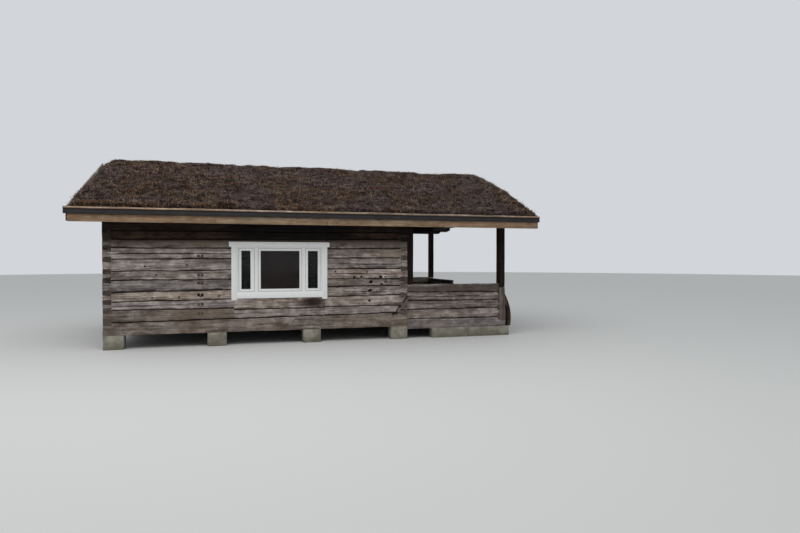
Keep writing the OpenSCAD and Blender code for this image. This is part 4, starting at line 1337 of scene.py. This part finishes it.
sashes, beads = [], []
for offset, width in window["panes"]:
    middleX = (openLow[0] + openHigh[0]) / 2 + offset
    opening = (middleX - width / 2, middleX + width / 2, paneLow[2], paneHigh[2])
    sashes.append(ring(grownBy(opening, window["sash"]), window["sash"],
                       frontFace + window["sashFront"], frontFace + window["sashBack"]))
    beads.append(ring(grownBy(opening, window["lap"]), window["bead"],
                      frontFace + window["beadFront"], paneLow[1]))
sashes = joined(sashes, "windowSashes")
dress(sashes, "window_sashes", whitePaint, window["sashEdge"])

# a wider upright stop along the right of the left pane
paneRight = (openLow[0] + openHigh[0]) / 2 + window["panes"][0][0] + window["panes"][0][1] / 2
stopFront = frontFace + window["stopFront"]
stopX = paneRight - window["stopIn"]
stop = addPrimitive(
    bpy.ops.mesh.primitive_cube_add,
    (window["stopWidth"], paneLow[1] - stopFront, paneHigh[2] - paneLow[2] + 2 * window["lap"]),
    size=1, location=(stopX, (stopFront + paneLow[1]) / 2, (paneLow[2] + paneHigh[2]) / 2))
moveVerts(stop, (window["stopBevel"], 0, 0), lambda co: co.x < stopX and co.y < paneLow[1] - 0.003)
beads = joined(beads + [stop], "glazingBeads")
softenEdges(beads, window["beadEdge"], 1)
finishPiece(beads, "white_paint", whitePaint)

nodes["window_panes"].data.materials.clear()
nodes["window_panes"].data.materials.append(windowGlass)

blindLow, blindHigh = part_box("window_blind")
blind = {
    "width": blindHigh[0] - blindLow[0], "height": blindHigh[2] - blindLow[2], "y": frontFace + 0.072,
    "pleats": 46, "depth": 0.004,
}
pleated = addPrimitive(
    bpy.ops.mesh.primitive_grid_add, (blind["width"], blind["height"], 1),
    x_subdivisions=12, y_subdivisions=blind["pleats"] * 2, size=1, rotation=(radians(90), 0, 0),
    location=((blindLow[0] + blindHigh[0]) / 2, blind["y"], (blindLow[2] + blindHigh[2]) / 2))
rowHeight = blind["height"] / (blind["pleats"] * 2)
moveVerts(pleated, (0, blind["depth"], 0), lambda co: round((co.z - blindLow[2]) / rowHeight) % 2 == 0)
pleated.name = "pleatedBlind"
finishPiece(pleated, "blind_cloth", blindCloth, "window_blind", smooth=20)
print("window fitted")


# door fittings

dress(copyNode("door_fittings", "doorFittings"), "door_fittings", blackIron, 0.0015, 1, 50)


# turf

peatLook = {"dark": shade(28, 20, 18), "light": shade(64, 50, 45), "roughness": 0.97}


def makePeat(look):
    material, tree = newMaterial("peat")
    clods = noiseNode(tree, objectPlace(tree), 22, 5, 0.65)
    colour = mixColours(tree, rangeNode(tree, clods, 0.35, 0.65), look["dark"], look["light"])
    return finishMaterial(
        material, {"Base Color": colour, "Roughness": look["roughness"]}, (clods, 0.8, 0.02))


plantLook = {
    # darkest and lightest of each plant
    "purple": (shade(44, 32, 35), shade(156, 130, 134)), "brown": (shade(52, 34, 26), shade(164, 128, 98)),
    "straw": (shade(104, 86, 70), shade(176, 160, 140)), "moss": (shade(78, 74, 48), shade(172, 168, 142)),
    "bleached": shade(178, 160, 148), "darkPatch": shade(42, 30, 29), "roughness": 0.9, "gloss": 0.15,
    # cushions by the upper right verge
    "green": shade(96, 91, 77), "greenX": (4.68, 4.92), "greenY": (-2.1, -1.5),
}


def makePlants(look):
    # kind tells heather, dry grass and moss apart; tone varies tufts, tint varies blades, tip paints shade
    # low on each blade and light at its end
    material, tree = newMaterial("heatherAndGrass")
    spot = objectPlace(tree)
    kind, tone, tip, tint = [readAttribute(tree, label) for label in ("kind", "tone", "tip", "tint")]
    patches = rangeNode(tree, noiseNode(tree, spot, 0.85, 4, 0.6), 0.38, 0.62)
    smallPatches = rangeNode(tree, noiseNode(tree, spot, 5.5, 4, 0.65), 0.42, 0.62)
    paleTufts = rangeNode(tree, noiseNode(tree, spot, 11, 4, 0.7), 0.52, 0.64)
    heather = mixColours(
        tree, patches, mixColours(tree, tone, *look["brown"]), mixColours(tree, tone, *look["purple"]))
    heather = mixColours(tree, times(tree, paleTufts, 0.7), heather, look["bleached"])
    # darker in small patches
    heather = mixColours(tree, times(tree, smallPatches, 0.8), heather, look["darkPatch"])
    moss = mixColours(tree, rangeNode(tree, tone, 0.35, 0.85), *look["moss"])
    isStraw, isMoss = rangeNode(tree, kind, 0.4, 0.6), rangeNode(tree, kind, 1.4, 1.6)
    colour = mixColours(tree, isStraw, heather, mixColours(tree, tone, *look["straw"]))
    colour = mixColours(tree, isMoss, colour, moss)
    # painted shade low on each blade, painted light at its end
    colour = multiplied(tree, colour, rangeNode(tree, tip, 0.0, 1.0, 0.28, 1.32))
    colour = multiplied(tree, colour, rangeNode(tree, tint, 0.0, 1.0, 0.50, 1.55))
    x, y = separated(tree, spot)[:2]
    ragged = plus(tree, x, times(tree, paleTufts, 0.12))
    green = times(tree, rangeNode(tree, ragged, *look["greenX"]), rangeNode(tree, y, *look["greenY"]))
    colour = mixColours(tree, times(tree, green, 0.45), colour, look["green"])
    return finishMaterial(material, {
        "Base Color": colour, "Roughness": look["roughness"], "Specular IOR Level": look["gloss"]})


peat, plants = makePeat(peatLook), makePlants(plantLook)

# blades in a tuft, their length, width, greatest lean in degrees and spread, the plant (0 heather, 1 straw,
# 2 moss) and the number of models
tuftKinds = {
    "heather": {
        "blades": 11, "short": 0.022, "long": 0.052, "width": 0.013, "lean": 76, "spread": 0.030, "kind": 0.0,
        "models": 6},
    "grass": {
        "blades": 6, "short": 0.040, "long": 0.110, "width": 0.009, "lean": 84, "spread": 0.030, "kind": 1.0,
        "models": 5},
    "stalks": {
        "blades": 4, "short": 0.120, "long": 0.220, "width": 0.004, "lean": 26, "spread": 0.020, "kind": 1.0,
        "models": 3},
    "moss": {
        "blades": 14, "short": 0.012, "long": 0.030, "width": 0.013, "lean": 65, "spread": 0.030, "kind": 2.0,
        "models": 3},
}
turf = {
    "heather": 680, "grass": 110, "stalks": 4, "moss": 70,   # tufts on a square metre
    "front": 3, "rear": 2,               # pieces on each slope
    "rearShare": 0.72,                   # the rear slope's density
    "fringe": 0.16, "fringeShare": 2.2,  # width of the thick growth at the foot of the slope
    "bareX": -5.02, "bareY": -1.9,       # nothing grows beside the proud verge board
    "bend": 0.03,                        # the tallest blades bend below the top of the box
    "thin": 0.12,                        # density between the patches, as a share
}
growthPatches = {
    # noise scale, from and to noise level that the tufts start and are at their thickest
    "heather": (7.0, 0.36, 0.52), "grass": (1.6, 0.36, 0.66), "stalks": (0.9, 0.46, 0.60),
    "moss": (0.9, 0.52, 0.66),
}


def pointValues(piece, name, values):
    piece.data.attributes.new(name, "FLOAT", "POINT").data.foreach_set("value", values)


def growTuft(name, look):
    # one blade, copied round with its own length and lean
    blade = addPrimitive(bpy.ops.mesh.primitive_circle_add, vertices=3, radius=1, fill_type="NGON")
    moveVerts(blade, (0, 0.5, 0), lambda co: co.y > 0.9)
    for vert in blade.data.vertices:   # foot on the ground, one unit high and wide
        vert.co = Vector((vert.co.x / 1.732, 0, (vert.co.y + 0.5) / 2))
    pointValues(blade, "tip", [vert.co.z for vert in blade.data.vertices])
    copies = []
    for i in range(look["blades"]):
        copy = copyOf(blade, name)
        pointValues(copy, "tint", [random.random()] * len(copy.data.vertices))
        length = random.uniform(look["short"], look["long"])
        lean = radians(look["lean"]) * random.random() ** 0.7
        turn = random.uniform(0, fullTurn)
        spread = random.uniform(0, look["spread"])
        leaning = Euler((lean, 0, turn), "XYZ").to_matrix().to_4x4()
        foot = Matrix.Translation((spread * sin(turn), -spread * cos(turn), -0.008))
        size = Matrix.Diagonal((look["width"] * random.uniform(0.7, 1.4), 1, length, 1))
        copy.data.transform(foot @ leaning @ Matrix.Rotation(random.uniform(0, 3.14), 4, "Z") @ size)
        copies.append(copy)
    bpy.data.objects.remove(blade)
    tuft = joined(copies, name)
    pointValues(tuft, "kind", [look["kind"]] * len(tuft.data.vertices))
    tuft.data.materials.append(plants)
    return tuft


def makeGrowth(name, collection, density, patch, seed):
    # strews tufts of one collection over a ground in clumps and turns them into one mesh
    tree = bpy.data.node_groups.new(name, "GeometryNodeTree")
    for way in ("INPUT", "OUTPUT"):
        tree.interface.new_socket("Geometry", in_out=way, socket_type="NodeSocketGeometry")
    ground = addNode(tree, "NodeGroupInput").outputs[0]
    patchScale, patchLow, patchHigh = patch
    noise = addNode(tree, "ShaderNodeTexNoise", {"Scale": patchScale, "Detail": 2.0}).outputs[0]
    thick = rangeNode(tree, noise, patchLow, patchHigh, density * turf["thin"], density, "LINEAR")
    strew = addNode(tree, "GeometryNodeDistributePointsOnFaces", {
        "Mesh": ground, "Density": thick, "Seed": seed}, distribute_method="RANDOM").outputs
    models = addNode(tree, "GeometryNodeCollectionInfo", {
        "Collection": collection, "Separate Children": True, "Reset Children": True}).outputs[0]
    upright = addNode(tree, "FunctionNodeAlignRotationToVector", {
        "Factor": 0.5, "Vector": strew["Normal"]}, axis="Z").outputs[0]
    spin = addNode(tree, "FunctionNodeRandomValue", data_type="FLOAT_VECTOR", inputs={
        "Min": (-0.3, -0.3, 0), "Max": (0.3, 0.3, fullTurn), "Seed": seed + 1}).outputs[0]
    turned = addNode(tree, "FunctionNodeRotateRotation", {
        0: upright, 1: spin}, rotation_space="LOCAL").outputs[0]
    size = addNode(tree, "FunctionNodeRandomValue", {
        2: 0.7, 3: 1.3, "Seed": seed + 2}, data_type="FLOAT").outputs[1]
    clump = addNode(tree, "ShaderNodeTexNoise", {"Scale": 5.0, "Detail": 3.0}).outputs[0]
    size = times(tree, size, rangeNode(tree, clump, 0.38, 0.62, 0.6, 1.55, "LINEAR"))
    spread = addNode(tree, "GeometryNodeInstanceOnPoints", {
        "Points": strew["Points"], "Instance": models, "Pick Instance": True, "Rotation": turned,
        "Scale": size}).outputs[0]
    tone = addNode(tree, "FunctionNodeRandomValue", {"Seed": seed + 3}, data_type="FLOAT").outputs[1]
    kept = addNode(tree, "GeometryNodeStoreNamedAttribute", {
        "Geometry": spread, "Name": "tone", "Value": tone}, data_type="FLOAT", domain="INSTANCE").outputs[0]
    solid = addNode(tree, "GeometryNodeRealizeInstances", {0: kept}).outputs[0]
    addNode(tree, "NodeGroupOutput", {0: solid})
    arrange(tree)
    return tree


tuftCollections = {}
for name, look in tuftKinds.items():
    shelf = bpy.data.collections.new(name + "Tufts")
    scene.collection.children.link(shelf)
    for i in range(look["models"]):
        tuft = growTuft(f"{name}Tuft{i}", look)
        scene.collection.objects.unlink(tuft)
        shelf.objects.link(tuft)
    tuftCollections[name] = shelf
print("tufts modelled")

roofFrom, roofTo = reach(nodes["front_turf"], alongX)
ridgeLine = []   # the front bed's height along the ridge, which the rear bed follows
peatShape = {
    # how far the peat lies below the turf's outline inside and at the edges, and the width of that change
    "sink": 0.036, "edgeSink": 0.012, "edgeWidth": 0.3,
    # near the ridge it sinks less: over what width, how much less, and how much less to the right of rightX
    "ridgeWidth": 0.7, "ridgeHold": 0.75, "rightHold": 1.0, "rightX": 2.6,
    "full": {"height": 0.035, "from": 4.4, "over": 0.4, "slope": 3.3},   # towards the right verge
    # below the left verge board on its upper half
    "low": {"depth": 0.10, "from": -4.86, "over": 0.12, "down": 2.5, "fade": 0.6},
    # x, half width and depth of the hollows along the ridge, and how far down they go
    "hollows": (
        (3.5, 0.45, 0.055), (1.15, 0.30, 0.03), (-0.9, 0.35, 0.025), (-3.3, 0.25, 0.02),
        (-4.35, 0.15, 0.015)),
    "hollowDown": 0.6,
    "wear": {"lumps": 0.034, "clods": 0.024},
}


def sinkPeat(co, ends, foot, isFront):
    # sets the height of a place on the bed's top; down is how far below the ridge it is, seen from above
    x, down = co.x, abs(co.y - ridgeY)
    full, low = peatShape["full"], peatShape["low"]
    inside = min(1.0, min(x - ends[0], ends[1] - x, abs(co.y - foot)) / peatShape["edgeWidth"])
    hold = peatShape["ridgeHold"] if x < peatShape["rightX"] else peatShape["rightHold"]
    sink = peatShape["edgeSink"] * (1 - inside) + peatShape["sink"] * inside
    co.z -= sink * (1 - hold * max(0.0, 1 - down / peatShape["ridgeWidth"]))
    if isFront:
        swell = sin(fullTurn / 2 * min(1.0, down / full["slope"]))
        co.z += full["height"] * clamped((x - full["from"]) / full["over"]) * swell
        beside = clamped((low["from"] - x) / low["over"])
        co.z -= low["depth"] * beside * clamped((low["down"] - down) / low["fade"])
    for hollowX, width, depth in peatShape["hollows"]:
        near = max(0.0, 1 - ((x - hollowX) / width) ** 2)
        co.z -= depth * near * max(0.0, 1 - down / peatShape["hollowDown"])


def makePeatBed(nodeName, pieceName, up):
    # the turf's own solid, its top sunk and made lumpy
    bed = copyNode(nodeName, pieceName)
    startEdit(bed, "FACE")
    pickFaces(bed, lambda face: face.normal.z > 0.3)
    bpy.ops.mesh.subdivide(number_cuts=2)
    bpy.ops.mesh.select_all(action="SELECT")
    bpy.ops.mesh.quads_convert_to_tris()
    bpy.ops.mesh.tris_convert_to_quads()
    for along, at in ((alongY, ridgeY), (alongX, roofFrom), (alongX, roofTo)):
        # each upright side becomes one face, so that its upper edge can rise and fall
        pickFaces(bed, lambda face: all(abs(vert.co.dot(along) - at) < 0.001 for vert in face.verts))
        bpy.ops.mesh.dissolve_faces()
    endEdit()
    verts = bed.data.vertices
    onTop = set()
    for face in bed.data.polygons:
        if face.normal.z > 0.3:
            onTop.update(face.vertices)
    bed.vertex_groups.new(name="top").add(sorted(onTop), 1.0, "REPLACE")
    ends, isFront = reach(bed, alongX), up.y > 0
    foot = reach(bed, alongY)[0 if isFront else 1]
    for i in onTop:
        sinkPeat(verts[i].co, ends, foot, isFront)
    roughen(bed, peatShape["wear"], "Z", "top")
    ridge = [verts[i] for i in onTop if abs(verts[i].co.y - ridgeY) < 0.003]
    if ridgeLine:
        for vert in ridge:
            vert.co.z = np.interp(vert.co.x, *zip(*ridgeLine))
    ridgeLine[:] = sorted((vert.co.x, vert.co.z) for vert in ridge)
    keepInside(bed)
    return finishPiece(bed, "turf", peat, nodeName, smooth=60)


bladeTop = cadHigh[2] - 0.001


def growOn(bed, pieceName, xFrom, xTo, share, seed, edgeOnly=False):
    # a strip of the bed's top carries the tufts; the strip itself is lost when they grow
    front, rear = reach(bed, alongY)

    def isBare(face):
        middle = face.calc_center_median()
        if edgeOnly:   # only the steep foot of the slope grows, down to the pole
            atFoot = middle.y < front + turf["fringe"] if front < -1 else middle.y > rear - turf["fringe"]
            return face.normal.z < -0.3 or not atFoot
        besideVerge = middle.x < turf["bareX"] and turf["bareY"] < middle.y < ridgeY
        return face.normal.z < 0.25 or not xFrom <= middle.x < xTo or besideVerge

    parts = []
    for number, name in enumerate(("heather", "grass") if edgeOnly else tuftKinds):
        strip = copyOf(bed, pieceName)
        startEdit(strip, "FACE")
        pickFaces(strip, isBare)
        bpy.ops.mesh.delete(type="FACE")
        endEdit()
        grow = strip.modifiers.new("grow", "NODES")
        grow.node_group = makeGrowth(
            name + "Growth", tuftCollections[name], turf[name] * share, growthPatches[name],
            seed + 10 * number)
        onlySelect(strip)
        bpy.ops.object.modifier_apply(modifier=grow.name)
        parts.append(strip)
    sward = joined(parts, pieceName)
    for vert in sward.data.vertices:
        over = vert.co.z - bladeTop + turf["bend"]
        if over > 0:
            vert.co.z = bladeTop - turf["bend"] * exp(-over / turf["bend"])
    keepInside(sward, 0.0005)
    return finishPiece(sward, "turf", plants)


for nodeName, bedName, sideName, up, share in (
        ("front_turf", "frontPeat", "front", upFront, 1.0),
        ("rear_turf", "rearPeat", "rear", upRear, turf["rearShare"])):
    bed = makePeatBed(nodeName, bedName, up)
    count = turf[sideName]
    size = (roofTo - roofFrom) / count
    for i in range(count):
        start = roofFrom - 1 if i == 0 else roofFrom + i * size
        end = roofTo + 1 if i == count - 1 else roofFrom + (i + 1) * size
        growOn(bed, f"{sideName}Heather{i + 1}", start, end, share, 300 + 7 * i)
    growOn(bed, sideName + "Fringe", roofFrom - 1, roofTo + 1, turf["fringeShare"] * share, 390,
           edgeOnly=True)
for shelf in tuftCollections.values():
    for tuft in list(shelf.objects):
        bpy.data.objects.remove(tuft)
    bpy.data.collections.remove(shelf)
print("turf grown")


# floor, light and camera

ground = {"radius": 70, "colour": (0.60, 0.60, 0.58, 1), "roughness": 0.95}
floor = addPrimitive(
    bpy.ops.mesh.primitive_circle_add, vertices=96, radius=ground["radius"], fill_type="NGON",
    location=(0, 0, 0))
floor.name = "floor"
floorSockets = {"Base Color": ground["colour"], "Roughness": ground["roughness"]}
floor.data.materials.append(finishMaterial(newMaterial("paleFloor")[0], floorSockets))
floor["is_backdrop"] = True

softSky = {"Color": (0.86, 0.89, 0.93, 1), "Strength": 0.75}
world = bpy.data.worlds.new("softSky")
world.use_nodes = True
for label, value in softSky.items():
    world.node_tree.nodes["Background"].inputs[label].default_value = value
scene.world = world

softbox = {"place": (-4, -9, 12), "aim": Vector((0, 0, 1.5)), "size": (14, 10), "energy": 900}
sky = bpy.data.lights.new("softbox", "AREA")
sky.shape = "RECTANGLE"
sky.size, sky.size_y = softbox["size"]
sky.energy = softbox["energy"]
skyObject = bpy.data.objects.new("softbox", sky)
skyObject.location = softbox["place"]
skyObject.rotation_euler = (softbox["aim"] - skyObject.location).to_track_quat("-Z", "Y").to_euler()
scene.collection.objects.link(skyObject)

view = {"place": (-1.98, -15.765, 1.90), "tilt": 89.26, "turn": -16.0, "lens": 26.1, "sensor": 36, "far": 300}
camera = bpy.data.objects.new("camera", bpy.data.cameras.new("camera"))
camera.location = view["place"]
camera.rotation_euler = (radians(view["tilt"]), 0, radians(view["turn"]))
camera.data.lens = view["lens"]
camera.data.sensor_width = view["sensor"]
camera.data.clip_end = view["far"]
scene.collection.objects.link(camera)
scene.camera = camera
scene.view_settings.view_transform = "Standard"
print("stage set")

low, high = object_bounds()
